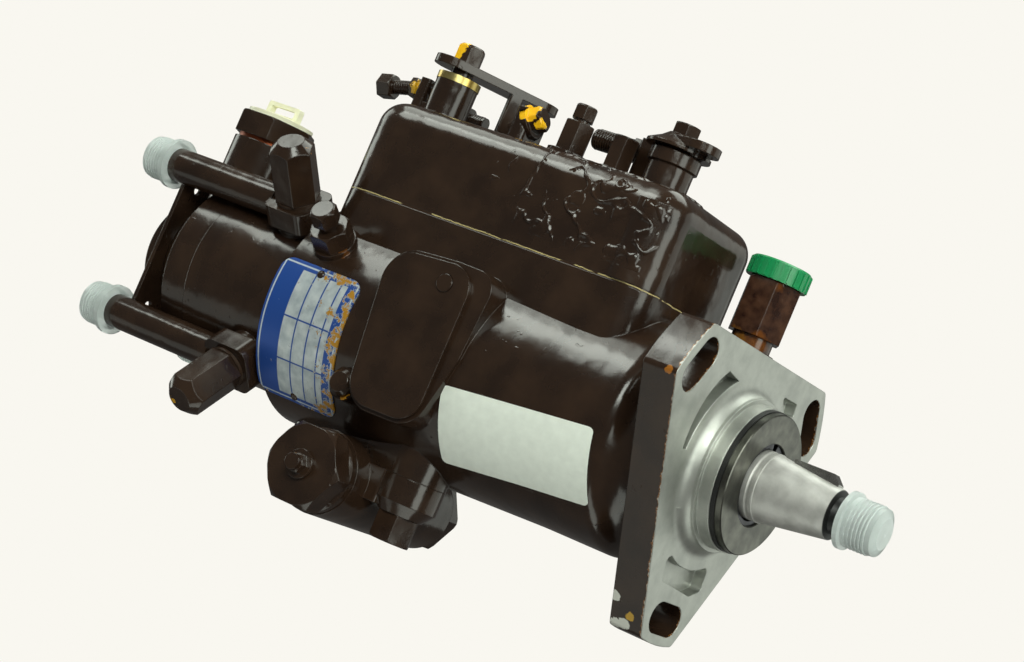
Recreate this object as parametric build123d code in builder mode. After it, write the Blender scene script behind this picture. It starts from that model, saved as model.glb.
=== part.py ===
"""Distributor-type diesel injection pump with a mechanical governor, in millimetres.

Frame: +X runs along the drive axis towards the shaft end, +Z points up to the
governor cover, and the origin is on the drive axis in the flange's mounting face.
"""
import os
from math import cos, radians, sin

from build123d import *

os.makedirs("parts", exist_ok=True)

# ---------------------------------------------------------------- driving sizes
running_gap = 0.05          # radial gap of every pin, shaft and piston that moves
seat_gap = 0.3              # gap between moving faces that push on each other
fit_gap = 0.05              # radial gap of screws, plugs and other fixed fits

# mounting flange and pilot
flange_thickness = 12.0
flange_flat = 38.0          # centre to each straight side of the triangle
flange_reach = 58.5         # centre to the rounded corners
slot_circle = 50.0          # radius of the circle that the mounting slots lie on
slot_width = 10.5
slot_span = 9.6             # between the two end centres of a slot
register_radius = 25.3
register_length = 4.6
root_blend = 4.2            # hollow curve between the register and the flange face
pilot_radius = 23.8
pilot_length = 9.0
disc_face = 13.0            # front face of the steel disc
disc_radius = 23.0
ring_groove = 1.6           # width of the black ring between pilot and disc
pocket_depth = 4.0

# housing
drum_radius = 40.3
drum_front_radius = 38.6
drum_front = -27.0
neck_radius = 31.5
housing_end = -164.0
cavity_radius = 33.5
cavity_front = -44.0
head_seat = -138.0
spigot_radius = 34.0
deck_half_width = 31.0
deck_front = -34.5
deck_top = 41.3
front_corner = 10.0
rear_corner = 15.0
opening_half_width = 22.0
opening_front = -48.0
opening_rear = -156.0

# governor cover
gasket_thickness = 0.8
cover_top = 76.0
cover_wall = 3.5
shoulder_radius = 9.0
throttle_x = -155.0
throttle_tower_radius = 7.7
throttle_tower_top = 90.8
stop_x = -61.5
stop_tower_radius = 7.9
stop_tower_top = 91.2
spindle_radius = 4.0

# drive line
journal_radius = 10.5
collar_radius = 11.3
collar_end = 16.0
taper_end = 39.5
taper_end_radius = 8.1
shaft_tip = 55.0
thread_radius = 6.0

# governor
weight_count = 4
weight_pivot = (-53.0, 24.0)
weight_pin_radius = 1.8
weight_width = 14.0
sleeve_front = -52.3
sleeve_rear = -82.0
sleeve_flange = 16.5
arm_pivot_height = 34.0
arm_thickness = 2.5
link_height = 52.0

# hydraulic head, cam and transfer pump
head_radius = 34.0
head_end = -206.0
cam_x = -121.5
cam_width = 18.0
cam_base_radius = 26.0
cam_lobe_height = 2.3
cam_lobes = 4
roller_radius = 6.0
rotor_radius = 10.0
outlet_x = -175.0
outlet_reach = 40.0         # drive axis to each delivery tube
liner_length = 9.0
end_plate_end = -239.0
inlet_x = -222.0

# timing advance
advance_joint = -drum_radius - 1.2      # height where its housing meets the pump housing
advance_z = advance_joint - 9.1
advance_bore = 8.4
advance_length = 62.0       # its transverse barrel, along Y
advance_barrel = 14.5
advance_cut_half = 22.0     # the barrel is flat on top between these
advance_pad_rounds = [(-98.0, -13.0, 11.2), (-148.0, -2.0, 10.0), (-112.0, 9.0, 9.0)]
advance_slot_y = 2.2
advance_slot_length = 15.0
advance_slot_width = 9.2
advance_thread_radius = 5.0
advance_fixings = advance_pad_rounds[:2]
advance_hexes = [13.5, 17.0]
advance_foot = advance_joint - 12.5     # underside of the two fixing bosses
ball_radius = 4.5
stem_radius = 3.8

# inspection cover on the near side
pad_face = drum_radius + 0.5
pad_border = 1.2
inspection_thickness = 1.6
inspection_rounds = [
    (-111.0, 16.5, 10.5),
    (-96.5, 19.0, 9.0),
    (-96.5, -16.5, 8.8),
    (-107.5, -15.5, 10.0),
]
pad_rounds = [(-87.5, 22.0, 5.8), (-89.0, 1.0, 5.8)]    # the cast pad reaches further forward

# head locking bolt, seals and pockets
lock_x = -150.0
lock_angle = 149.0          # around the drive axis, from +Y through +Z
lock_thread_radius = 5.0
lock_boss = 7.5
lock_rise = 1.7             # height of the boss above the drum
side_screw = (-122.6, -21.1)
side_seat = drum_radius - 3.3
plate_screw = (-97.5, 21.0)
screw_shank = 2.0
plate_angle = 163.5         # nameplate: where it starts around the drive axis
plate_sweep = 71.0
plate_length = 34.4
plate_corner = 4.5
seal_radius = 13.5
seal_length = 8.0
pocket_inner = 31.0
outlet_angles = (45, 135, 225, 315)

# back leak connector
leak_x = -20.0
leak_y = 20.0
leak_seat = 40.5
leak_boss = 8.6
leak_thread_radius = 5.0

# fittings on top of the governor cover
cavity_top = 72.5
pillar_x = -45.5
pillar_y = 23.0
pillar_radius = 9.0
nut_x = -101.0
nut_seat = 80.0
nut_top = 91.0
standoff_x = -81.5
standoff_seat = 79.5
standoff_top = 91.0
stud_radius = 2.5
vent_shank = 2.0
stop_screw_radius = 2.4
idle_lug = (-167.0, 1.5)
idle_lug_foot = 74.0
idle_lug_top = 89.8
idle_angle = 11.0           # the idle screw rises towards the throttle tower
idle_head = (-186.5, 1.5, 82.8)
idle_screw_length = 22.8
idle_nut_place = 13.6
speed_lug_x = -163.5
speed_y = 18.0
speed_z = 83.5
sleeve_lug_x = -76.0
sleeve_y = 9.6
sleeve_z = 89.5
bracket_x = -121.0
bracket_foot = 74.0
bracket_top = 90.0
stop_nut_seat = (-121.2, 0.0, 85.7)
stop_nut_angle = 30.0       # its axis rises towards the shaft end
throttle_plate = 95.5       # underside of the throttle lever
throttle_angle = 54.6       # plan direction of the throttle lever from +X
throttle_reach = 31.0
throttle_hole = 31.0
throttle_hole_radius = 3.0
lever_thickness = 3.0
lever_stub = 3.0
tab_place = 20.0
stop_plate = 91.5           # underside of the shut-off lever
stop_angle = -20.0
stop_reach = 11.0
stop_hub = 5.6
stop_hole = 11.0
stop_hole_radius = 2.2

# drive line details
shaft_rear = -100.0
cap_start = 43.5
rotor_stub = 7.0
key_start = 21.0
key_end = 37.5
key_floor = 7.0
key_top = 11.5
key_width = 4.0
ring_radius = 23.4
disc_neck = 20.0
disc_lip = disc_face - pilot_length - ring_groove

# governor linkage details
arm_x = -84.75
pivot_pin = 2.0
link_radius = 1.5
link_y = 10.0
valve_x = -146.0
valve_radius = 4.0
valve_foot = 13.3
valve_arm = 50.0            # top of the valve's arm
valve_pin = 1.3
bracket_start = -112.0

# outlets, inlet and rotor details
bolt_shank = 4.9
outlet_boss = 8.0
outlet_seat = 34.8
washer_thickness = 1.1
banjo_height = 8.0
bolt_reach = 67.0
outlet_pipe = 6.0
pipe_end = -233.5
pipe_nose = 5.0
tie_plate_x = -229.0
tie_plate_half = 28.3
tie_plate_hole = 22.6
end_plate_rim = 33.2
end_plate_step = 11.0
end_plate_radius = 22.0
inlet_column = 13.4
inlet_thread = 9.0
column_top = 47.7
inlet_top = 57.5
liner_radius = 24.0
rotor_tail = 6.0
rotor_drum = 23.2
drum_end = -113.5
plunger_radius = 4.0
shoe_length = 12.0
shoe_half = 6.4
roller_place = 17.3
lock_tip = 3.0
adjuster_radius = 2.8
leak_hex = 44.6
leak_hex_top = 63.6
leak_spigot = 7.4

# ---------------------------------------------------------------- shared shapes


def outline(points, plane=Plane.XY):
    """A closed outline of straight runs, as a face on the plane."""
    with BuildSketch(plane) as shape:
        with BuildLine():
            Polyline(*points, close=True)
        make_face()
    return shape.sketch


def upward(x, y, z):
    return Plane(origin=(x, y, z), x_dir=(1, 0, 0), z_dir=(0, 0, 1))


def forward(x, y=0.0, z=0.0):
    """Plane that faces along the drive axis, towards the shaft end."""
    return Plane(origin=(x, y, z), x_dir=(0, 1, 0), z_dir=(1, 0, 0))


def toward(x, y, z):
    """Plane that faces the inspection cover's side, -Y."""
    return Plane(origin=(x, y, z), x_dir=(1, 0, 0), z_dir=(0, -1, 0))


def turned(plane, points):
    """A turned body around the plane's normal, from points of (radius, height)."""
    section = Plane(origin=plane.origin, x_dir=plane.x_dir, z_dir=-plane.y_dir)
    with BuildPart() as body:
        revolve(outline(points, section), axis=Axis(plane.origin, plane.z_dir))
    return body.part


def pillow(face, height, shoulder):
    """A block on the face whose far rim is rounded over."""
    with BuildPart() as block:
        extrude(face, amount=height)
        fillet(block.faces().sort_by(Axis.Z)[-1].edges(), shoulder)
    return block.part


def bar(plane, length, width, height, corner=0.5):
    """A block with rounded upright edges that stands on the plane."""
    with BuildPart() as block:
        with BuildSketch(plane):
            RectangleRounded(length, width, corner)
        extrude(amount=height)
    return block.part


def meridian(angle, offset=0.0):
    """Plane through the drive axis, for profiles of (x, radius)."""
    turn = radians(angle)
    normal = Vector(0, -sin(turn), cos(turn))
    return Plane(origin=normal * offset, x_dir=(1, 0, 0), z_dir=normal)


def radial(x, angle, radius):
    """Plane that faces outwards at an angle around the drive axis."""
    turn = radians(angle)
    outward = (0, cos(turn), sin(turn))
    return Plane(origin=(x, radius * cos(turn), radius * sin(turn)), x_dir=(1, 0, 0), z_dir=outward)


def polar_point(radius, angle):
    return (radius * cos(radians(angle)), radius * sin(radians(angle)))


def hexagon(plane, across_flats, height, bevel=0.8):
    """A hexagonal prism on the plane, with the corners of its far face turned off."""
    with BuildPart() as prism:
        with BuildSketch(plane):
            Circle(across_flats * 0.59)
        extrude(amount=height)
        far_face = prism.faces().sort_by(Axis(plane.origin, plane.z_dir))[-1]
        chamfer(far_face.edges(), bevel)
        with BuildSketch(plane):
            RegularPolygon(across_flats / 2, 6, major_radius=False)
        extrude(amount=height, mode=Mode.INTERSECT)
    return prism.part


def rod(plane, radius, height):
    """A round bar that stands on the plane."""
    with BuildPart() as bar:
        with BuildSketch(plane):
            Circle(radius)
        extrude(amount=height)
    return bar.part


def tube(plane, radius, bore, height):
    """A round tube that stands on the plane."""
    with BuildPart() as pipe:
        with BuildSketch(plane):
            Circle(radius)
            Circle(bore, mode=Mode.SUBTRACT)
        extrude(amount=height)
    return pipe.part


def plan_outline(plane, inset=0.0):
    """Plan of the deck and the governor cover, with its four rounded corners."""
    front = deck_front - inset
    rear = housing_end + inset
    half = deck_half_width - inset
    with BuildSketch(plane) as plan:
        with BuildLine():
            FilletPolyline(
                (front, -half),
                (front, half),
                (rear, half),
                (rear, -half),
                radius=[front_corner, front_corner, rear_corner, rear_corner],
                close=True,
            )
        make_face()
    return plan.sketch


def hull_of(rounds, border=0.0):
    """Outline wrapped around circles given as (x, y, radius), grown by a border."""
    with BuildSketch() as shape:
        for x, y, radius in rounds:
            with Locations((x, y)):
                Circle(radius + border)
        make_hull()
    return shape.sketch


# ---------------------------------------------------------------- pump housing
with BuildPart() as pump_housing:
    with BuildSketch(Plane.YZ.offset(-flange_thickness)):
        RegularPolygon(flange_flat, 3, major_radius=False, rotation=-90)
        Circle(flange_reach, mode=Mode.INTERSECT)
    extrude(amount=flange_thickness)
    fillet(pump_housing.edges().filter_by(Axis.X), 2.5)

    with BuildSketch(Plane.XY):
        with BuildLine():
            Polyline(
                (-flange_thickness, 0),
                (housing_end, 0),
                (housing_end, drum_radius - 1.5),
                (housing_end + 1.5, drum_radius),
                (-112.0, drum_radius),
                (-52.0, drum_front_radius),
                (drum_front, drum_front_radius),
            )
            Spline(
                (drum_front, drum_front_radius),
                (drum_front + 6.0, neck_radius + 3.2),
                (-flange_thickness, neck_radius),
                tangents=[(1, 0), (1, -0.15)],
            )
            Line((-flange_thickness, neck_radius), (-flange_thickness, 0))
        make_face()
    revolve(axis=Axis.X)

    with BuildSketch(Plane.XY):
        with BuildLine():
            Polyline(
                (register_length - 1.2, register_radius),
                (register_length, register_radius),
                (register_length, pilot_radius),
                (pilot_length, pilot_radius),
                (pilot_length, 0),
                (0, 0),
                (0, register_radius + root_blend),
            )
            RadiusArc(
                (0, register_radius + root_blend),
                (register_length - 1.2, register_radius),
                -root_blend - 0.4,
            )
        make_face()
    revolve(axis=Axis.X)

    extrude(plan_outline(Plane.XY.offset(10.0)), amount=deck_top - 10.0)

    # cast pad under the drum for the advance unit, and the raised inspection pad
    extrude(upward(0, 0, advance_joint) * hull_of(advance_pad_rounds), amount=-advance_joint - 20.0)
    extrude(
        Plane.XZ.offset(pad_face) * hull_of([*inspection_rounds, *pad_rounds], pad_border),
        amount=-(pad_face - 24.0),
    )
    with BuildSketch(Plane.XY.offset(10.0)):
        with Locations((leak_x, leak_y)):
            Circle(leak_boss)
    extrude(amount=leak_seat - 10.0)

    add(rod(radial(lock_x, lock_angle, drum_radius - 4.0), lock_boss, 4.0 + lock_rise))
    add(rod(toward(side_screw[0], -30.0, side_screw[1]), 5.6, side_seat - 30.0))

    # bores: journal, seal pocket, main cavity, seat of the hydraulic head
    revolve(
        outline(
            [
                (pilot_length, 0),
                (pilot_length, seal_radius),
                (pilot_length - seal_length, seal_radius),
                (pilot_length - seal_length, journal_radius + running_gap),
                (cavity_front, journal_radius + running_gap),
                (cavity_front, cavity_radius - 6.0),
                (cavity_front - 6.0, cavity_radius),
                (head_seat, cavity_radius),
                (head_seat, spigot_radius),
                (housing_end, spigot_radius),
                (housing_end, 0),
            ]
        ),
        axis=Axis.X,
        mode=Mode.SUBTRACT,
    )

    # opening from the governor cover down into the cavity
    with BuildSketch(Plane.XY.offset(8.0)):
        with Locations(((opening_front + opening_rear) / 2, 0)):
            RectangleRounded(opening_front - opening_rear, 2 * opening_half_width, 6.0)
    extrude(amount=deck_top, mode=Mode.SUBTRACT)

    # slot for the advance screw, and holes for the two advance fixings
    with BuildSketch(Plane.XY.offset(advance_joint)):
        with Locations((cam_x, advance_slot_y)):
            SlotOverall(advance_slot_length, advance_slot_width, rotation=90)
    extrude(amount=14.0, mode=Mode.SUBTRACT)
    with BuildSketch(Plane.XY.offset(advance_joint)):
        for x, y, boss in advance_fixings:
            with Locations((x, y)):
                Circle(advance_thread_radius)
    extrude(amount=6.0, mode=Mode.SUBTRACT)

    # mounting slots
    with BuildSketch(Plane.YZ):
        with PolarLocations(slot_circle, 3, start_angle=30):
            SlotCenterToCenter(slot_span, slot_width, rotation=90)
    extrude(amount=-flange_thickness, mode=Mode.SUBTRACT)

    # cast pockets in the flange face
    with BuildSketch(Plane.YZ):
        with BuildLine():
            ThreePointArc(*[polar_point(pocket_inner, a) for a in (121, 150, 179)])
            Line(polar_point(pocket_inner, 179), polar_point(pocket_inner + 2.2, 180))
            Spline(
                polar_point(pocket_inner + 2.2, 180),
                polar_point(pocket_inner + 4.9, 155),
                polar_point(pocket_inner + 5.9, 131),
            )
            Line(polar_point(pocket_inner + 5.9, 131), polar_point(pocket_inner, 121))
        make_face()
    with BuildSketch(Plane.YZ) as small_pocket:
        with BuildLine():
            Polyline((16.4, 29.6), (27.9, 29.7), (28.9, 25.4), (21.6, 24.6), close=True)
        make_face()
        fillet(small_pocket.vertices(), 0.8)
    with BuildSketch(Plane.YZ) as lower_pocket:
        with BuildLine():
            ThreePointArc((-16.1, -29.0), (0.0, -33.0), (13.7, -29.6))
            Polyline(
                (13.7, -29.6),
                (15.1, -37.9),
                (8.6, -40.7),
                (-12.2, -39.0),
                (-16.1, -29.0),
            )
        make_face()
        fillet(lower_pocket.vertices(), 2.0)
    extrude(amount=-pocket_depth, mode=Mode.SUBTRACT)

    # threaded holes of the head locking bolt and the back leak connector
    with BuildSketch(radial(lock_x, lock_angle, drum_radius + lock_rise)):
        Circle(lock_thread_radius)
    extrude(amount=-11.0, mode=Mode.SUBTRACT)
    with BuildSketch(Plane.XY.offset(leak_seat)):
        with Locations((leak_x, leak_y)):
            Circle(leak_thread_radius)
    extrude(amount=-8.0, mode=Mode.SUBTRACT)
    for x, z, seat in ((*side_screw, side_seat), (*plate_screw, pad_face)):
        add(rod(toward(x, -seat + 6.0, z), screw_shank + fit_gap, 6.0), mode=Mode.SUBTRACT)
pump_housing.part.label = "pump_housing"
export_step(pump_housing.part, "parts/pump_housing.step")

idle_axis = Plane(
    origin=idle_head,
    x_dir=(0, 1, 0),
    z_dir=(cos(radians(idle_angle)), 0, sin(radians(idle_angle))),
)
stop_nut_axis = Plane(
    origin=stop_nut_seat,
    x_dir=(0, 1, 0),
    z_dir=(cos(radians(stop_nut_angle)), 0, sin(radians(stop_nut_angle))),
)
throttle_plane = Plane(
    origin=(throttle_x, 0, throttle_plate),
    x_dir=(cos(radians(throttle_angle)), sin(radians(throttle_angle)), 0),
    z_dir=(0, 0, 1),
)
stop_plane = Plane(
    origin=(stop_x, 0, stop_plate + 1.4),
    x_dir=(cos(radians(stop_angle)), sin(radians(stop_angle)), 0),
    z_dir=(0, 0, 1),
)

# ---------------------------------------------------------------- governor cover
cover_foot = deck_top + gasket_thickness
with BuildPart() as cover_gasket:
    extrude(plan_outline(upward(0, 0, deck_top)), amount=gasket_thickness)
    with BuildSketch(upward((opening_front + opening_rear) / 2, 0, deck_top)):
        RectangleRounded(opening_front - opening_rear, 2 * opening_half_width, 6.0)
    extrude(amount=gasket_thickness, mode=Mode.SUBTRACT)
cover_gasket.part.label = "cover_gasket"
export_step(cover_gasket.part, "parts/cover_gasket.step")

with BuildPart() as governor_cover:
    add(pillow(plan_outline(upward(0, 0, cover_foot)), cover_top - cover_foot, shoulder_radius))
    for side in (-1, 1):
        with BuildSketch(upward(pillar_x, side * pillar_y, cover_foot)):
            Circle(pillar_radius)
        extrude(amount=cover_top - 6.5 - cover_foot)
    add(
        turned(
            upward(throttle_x, 0, 0),
            [
                (0, 70.0),
                (throttle_tower_radius + 0.8, 70.0),
                (throttle_tower_radius + 0.8, cover_top + 0.6),
                (throttle_tower_radius, cover_top + 2.6),
                (throttle_tower_radius, throttle_tower_top),
                (0, throttle_tower_top),
            ],
        )
    )
    add(
        turned(
            upward(stop_x, 0, 0),
            [
                (0, 70.0),
                (stop_tower_radius + 1.9, 70.0),
                (stop_tower_radius + 1.6, cover_top + 0.4),
                (stop_tower_radius, cover_top + 2.4),
                (stop_tower_radius, stop_tower_top - 5.4),
                (stop_tower_radius + 1.0, stop_tower_top - 4.8),
                (stop_tower_radius + 1.0, stop_tower_top - 0.6),
                (stop_tower_radius + 0.4, stop_tower_top),
                (0, stop_tower_top),
            ],
        )
    )
    # seats of the cover nut and the standoff, and the lugs of the stop screws
    add(rod(upward(nut_x, 0, 70.0), 7.5, nut_seat - 70.0))
    add(rod(upward(standoff_x, 0, 70.0), 5.6, standoff_seat - 70.0))
    add(bar(upward(*idle_lug, idle_lug_foot), 4.4, 8.0, idle_lug_top - idle_lug_foot, 1.0))
    web_length = throttle_x - idle_lug[0]
    add(bar(upward(idle_lug[0] + web_length / 2, idle_lug[1], idle_lug_foot), web_length, 6.4, 7.5))
    add(bar(upward(speed_lug_x, speed_y, 68.0), 5.0, 9.0, 20.0))
    add(bar(upward(sleeve_lug_x, sleeve_y, 70.0), 8.0, 8.5, 24.0, 1.5))
    add(bar(upward(bracket_x, 1.0, bracket_foot), 6.5, 14.0, bracket_top - bracket_foot, 2.4))
    # cavity for the linkage, spindle bores and threaded holes
    add(
        pillow(plan_outline(upward(0, 0, cover_foot), cover_wall), cavity_top - cover_foot, 2.0),
        mode=Mode.SUBTRACT,
    )
    for x, top in ((throttle_x, throttle_tower_top), (stop_x, stop_tower_top)):
        add(rod(upward(x, 0, 60.0), spindle_radius + running_gap, top - 60.0), mode=Mode.SUBTRACT)
    for x, seat in ((nut_x, nut_seat), (standoff_x, standoff_seat)):
        add(rod(upward(x, 0, 66.0), stud_radius + fit_gap, seat - 66.0), mode=Mode.SUBTRACT)
    add(
        rod(idle_axis.offset(-1.0), stop_screw_radius + fit_gap, idle_screw_length + 3.0),
        mode=Mode.SUBTRACT,
    )
    add(
        rod(forward(speed_lug_x - 5.0, speed_y, speed_z), stop_screw_radius + fit_gap, 10.0),
        mode=Mode.SUBTRACT,
    )
    add(
        rod(forward(sleeve_lug_x - 6.0, sleeve_y, sleeve_z), stop_screw_radius + fit_gap, 12.0),
        mode=Mode.SUBTRACT,
    )
    add(rod(stop_nut_axis, 6.4, 9.0), mode=Mode.SUBTRACT)
    add(rod(stop_nut_axis.offset(-9.0), stop_screw_radius + fit_gap, 10.0), mode=Mode.SUBTRACT)
governor_cover.part.label = "governor_cover"
export_step(governor_cover.part, "parts/governor_cover.step")

with BuildPart() as cover_nuts:
    add(hexagon(upward(nut_x, 0, nut_seat), 9.7, nut_top - nut_seat))
    add(rod(upward(nut_x, 0, 68.0), stud_radius, nut_seat - 68.0))
    add(rod(upward(nut_x, 0, nut_top - 5.0), vent_shank + fit_gap, 5.0), mode=Mode.SUBTRACT)
    add(hexagon(upward(standoff_x, 0, standoff_seat), 8.5, standoff_top - standoff_seat))
    add(rod(upward(standoff_x, 0, 68.0), stud_radius, standoff_seat - 68.0))
cover_nuts.part.label = "cover_nuts"
export_step(cover_nuts.part, "parts/cover_nuts.step")

with BuildPart() as vent_screw:
    add(
        turned(
            upward(nut_x, 0, nut_top),
            [(0, -4.5), (vent_shank, -4.5), (vent_shank, 0), (3.1, 0), (3.1, 1.2), (0, 1.2)],
        )
    )
    add(hexagon(upward(nut_x, 0, nut_top + 1.2), 7.2, 5.2, 1.0))
vent_screw.part.label = "vent_screw"
export_step(vent_screw.part, "parts/vent_screw.step")

with BuildPart() as stop_screws:
    add(hexagon(idle_axis, 8.0, 5.5))
    add(rod(idle_axis, stop_screw_radius, idle_screw_length))
    add(hexagon(idle_axis.offset(idle_nut_place), 7.0, 2.6))
    add(rod(forward(-170.0, speed_y, speed_z), stop_screw_radius, 20.0))
    add(hexagon(forward(speed_lug_x + 2.5, speed_y, speed_z), 8.0, 4.0))
stop_screws.part.label = "stop_screws"
export_step(stop_screws.part, "parts/stop_screws.step")

with BuildPart() as stop_nut:
    add(rod(stop_nut_axis, 5.9, 2.2))
    add(hexagon(stop_nut_axis.offset(2.2), 8.0, 4.8, 1.2))
    add(rod(stop_nut_axis.offset(-6.5), stop_screw_radius, 8.0))
stop_nut.part.label = "stop_nut"
export_step(stop_nut.part, "parts/stop_nut.step")

with BuildPart() as adjusting_sleeve:
    sleeve_start = sleeve_lug_x - 4.0 - 3.0
    add(rod(forward(sleeve_start - 16.0, sleeve_y, sleeve_z), 3.4, 16.0))
    add(hexagon(forward(sleeve_start, sleeve_y, sleeve_z), 8.0, 3.0))
    add(rod(forward(sleeve_start, sleeve_y, sleeve_z), stop_screw_radius, 13.5))
adjusting_sleeve.part.label = "adjusting_sleeve"
export_step(adjusting_sleeve.part, "parts/adjusting_sleeve.step")

# ---------------------------------------------------------------- levers on the cover
with BuildPart() as throttle_shaft:
    add(
        turned(
            upward(throttle_x, 0, 0),
            [
                (0, 64.0),
                (4.9, 64.0),
                (4.9, cavity_top - 1.2),
                (spindle_radius, cavity_top - 1.2),
                (spindle_radius, throttle_plate),
                (lever_stub, throttle_plate),
                (lever_stub, throttle_plate + 10.0),
                (0, throttle_plate + 10.0),
            ],
        )
    )
    add(bar(upward(throttle_x + 8.0, 0, 64.0), 16.0, 6.0, 2.4, 2.9))
    add(rod(upward(throttle_x + 13.0, 0, 59.0), 1.5, 6.0))
throttle_shaft.part.label = "throttle_shaft"
export_step(throttle_shaft.part, "parts/throttle_shaft.step")

with BuildPart() as throttle_seal_ring:
    add(
        tube(
            upward(throttle_x, 0, throttle_tower_top),
            throttle_tower_radius + 0.2,
            spindle_radius + running_gap,
            2.6,
        )
    )
throttle_seal_ring.part.label = "throttle_seal_ring"
export_step(throttle_seal_ring.part, "parts/throttle_seal_ring.step")

with BuildPart() as throttle_lever:
    with BuildSketch(throttle_plane):
        with Locations((throttle_reach / 2 - 2.0, 0)):
            SlotOverall(throttle_reach + 18.0, 14.0)
        with Locations((throttle_hole, 0)):
            Circle(throttle_hole_radius, mode=Mode.SUBTRACT)
        Circle(lever_stub + fit_gap, mode=Mode.SUBTRACT)
    extrude(amount=lever_thickness)
    with BuildSketch(throttle_plane):
        with Locations((tab_place, -5.5)):
            RectangleRounded(5.0, 3.0, 0.6)
    extrude(amount=-14.0)
throttle_lever.part.label = "throttle_lever"
export_step(throttle_lever.part, "parts/throttle_lever.step")

with BuildPart() as throttle_nut:
    add(hexagon(upward(throttle_x, 0, throttle_plate + lever_thickness), 9.2, 7.0, 1.4))
    add(
        rod(upward(throttle_x, 0, throttle_plate), lever_stub + fit_gap, 16.0),
        mode=Mode.SUBTRACT,
    )
throttle_nut.part.label = "throttle_nut"
export_step(throttle_nut.part, "parts/throttle_nut.step")

with BuildPart() as shut_off_shaft:
    add(
        turned(
            upward(stop_x, 0, 0),
            [
                (0, 64.0),
                (5.4, 64.0),
                (5.4, cavity_top - seat_gap),
                (spindle_radius, cavity_top - seat_gap),
                (spindle_radius, stop_plate),
                (lever_stub, stop_plate),
                (lever_stub, stop_plate + 9.4),
                (0, stop_plate + 9.4),
            ],
        )
    )
    add(bar(upward(stop_x - 8.0, 0, 64.0), 16.0, 6.0, 2.4, 2.9))
    add(rod(upward(stop_x - 13.0, 0, 59.0), 1.5, 6.0))
shut_off_shaft.part.label = "shut_off_shaft"
export_step(shut_off_shaft.part, "parts/shut_off_shaft.step")

with BuildPart() as shut_off_lever:
    add(
        turned(
            upward(stop_x, 0, stop_plate),
            [(0, 0), (11.4, 0), (11.4, 1.2), (7.4, 3.6), (5.2, stop_hub), (0, stop_hub)],
        )
    )
    with BuildSketch(stop_plane):
        with Locations((stop_reach / 2, 0)):
            SlotOverall(stop_reach + 12.5, 12.5)
    extrude(amount=lever_thickness)
    with BuildSketch(stop_plane):
        with Locations((stop_hole, 0)):
            Circle(stop_hole_radius)
    extrude(amount=12.0, both=True, mode=Mode.SUBTRACT)
    with BuildSketch(stop_plane):
        with Locations((stop_hole, 0)):
            Circle(stop_hole_radius + 0.8)
    extrude(amount=-3.0, mode=Mode.SUBTRACT)
    add(rod(upward(stop_x, 0, stop_plate - 1.0), lever_stub + fit_gap, 9.0), mode=Mode.SUBTRACT)
shut_off_lever.part.label = "shut_off_lever"
export_step(shut_off_lever.part, "parts/shut_off_lever.step")

with BuildPart() as shut_off_nut:
    add(hexagon(upward(stop_x, 0, stop_plate + stop_hub), 8.6, 4.0))
    add(rod(upward(stop_x, 0, stop_plate), lever_stub + fit_gap, 12.0), mode=Mode.SUBTRACT)
shut_off_nut.part.label = "shut_off_nut"
export_step(shut_off_nut.part, "parts/shut_off_nut.step")

# ---------------------------------------------------------------- drive line
with BuildPart() as drive_shaft:
    revolve(
        outline(
            [
                (shaft_rear, 0),
                (shaft_rear, journal_radius),
                (1.3, journal_radius),
                (1.3, collar_radius),
                (13.4, collar_radius),
                (13.8, collar_radius - 0.5),
                (14.6, collar_radius - 0.5),
                (15.0, collar_radius),
                (collar_end, collar_radius),
                (collar_end + 0.2, collar_radius - 0.3),
                (taper_end, taper_end_radius),
                (taper_end + 0.6, taper_end_radius - 2.0),
                (cap_start - 1.0, thread_radius - 0.8),
                (cap_start, thread_radius),
                (shaft_tip - 1.0, thread_radius),
                (shaft_tip, thread_radius - 1.0),
                (shaft_tip, 0),
            ]
        ),
        axis=Axis.X,
    )
    add(rod(forward(shaft_rear), rotor_stub + fit_gap, 11.0), mode=Mode.SUBTRACT)
    with BuildSketch(upward((key_start + key_end) / 2, 0, key_floor)):
        Rectangle(key_end - key_start, key_width)
    extrude(amount=8.0, mode=Mode.SUBTRACT)
drive_shaft.part.label = "drive_shaft"
export_step(drive_shaft.part, "parts/drive_shaft.step")

with BuildPart() as shaft_key:
    with BuildSketch(Plane.XZ.offset(-key_width / 2)):
        with BuildLine():
            Polyline(
                (key_start, key_floor),
                (key_end, key_floor),
                (key_end, key_top - 2.6),
                (key_end - 2.6, key_top),
                (key_start, key_top),
                close=True,
            )
        make_face()
    extrude(amount=key_width)
shaft_key.part.label = "shaft_key"
export_step(shaft_key.part, "parts/shaft_key.step")

with BuildPart() as shaft_cap:
    revolve(
        outline(
            [
                (cap_start, thread_radius + fit_gap),
                (cap_start, 9.2),
                (cap_start + 1.6, 9.2),
                (cap_start + 2.0, 8.0),
                (shaft_tip + 0.4, 7.6),
                (shaft_tip + 1.6, 5.0),
                (shaft_tip + 1.8, 0),
                (shaft_tip + fit_gap, 0),
                (shaft_tip + fit_gap, thread_radius + fit_gap),
            ]
        ),
        axis=Axis.X,
    )
shaft_cap.part.label = "shaft_cap"
export_step(shaft_cap.part, "parts/shaft_cap.step")

with BuildPart() as shaft_seals:
    add(tube(forward(pilot_length - 7.0), seal_radius, collar_radius + running_gap, 7.0))
    add(tube(forward(pilot_length), ring_radius, disc_neck, ring_groove))
shaft_seals.part.label = "shaft_seals"
export_step(shaft_seals.part, "parts/shaft_seals.step")

with BuildPart() as pilot_disc:
    add(tube(forward(pilot_length), disc_neck, seal_radius, ring_groove))
    add(tube(forward(pilot_length + ring_groove), disc_radius, seal_radius, disc_lip))
    chamfer(pilot_disc.edges().sort_by(Axis.X)[-2:], 0.3)
pilot_disc.part.label = "pilot_disc"
export_step(pilot_disc.part, "parts/pilot_disc.step")

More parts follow.
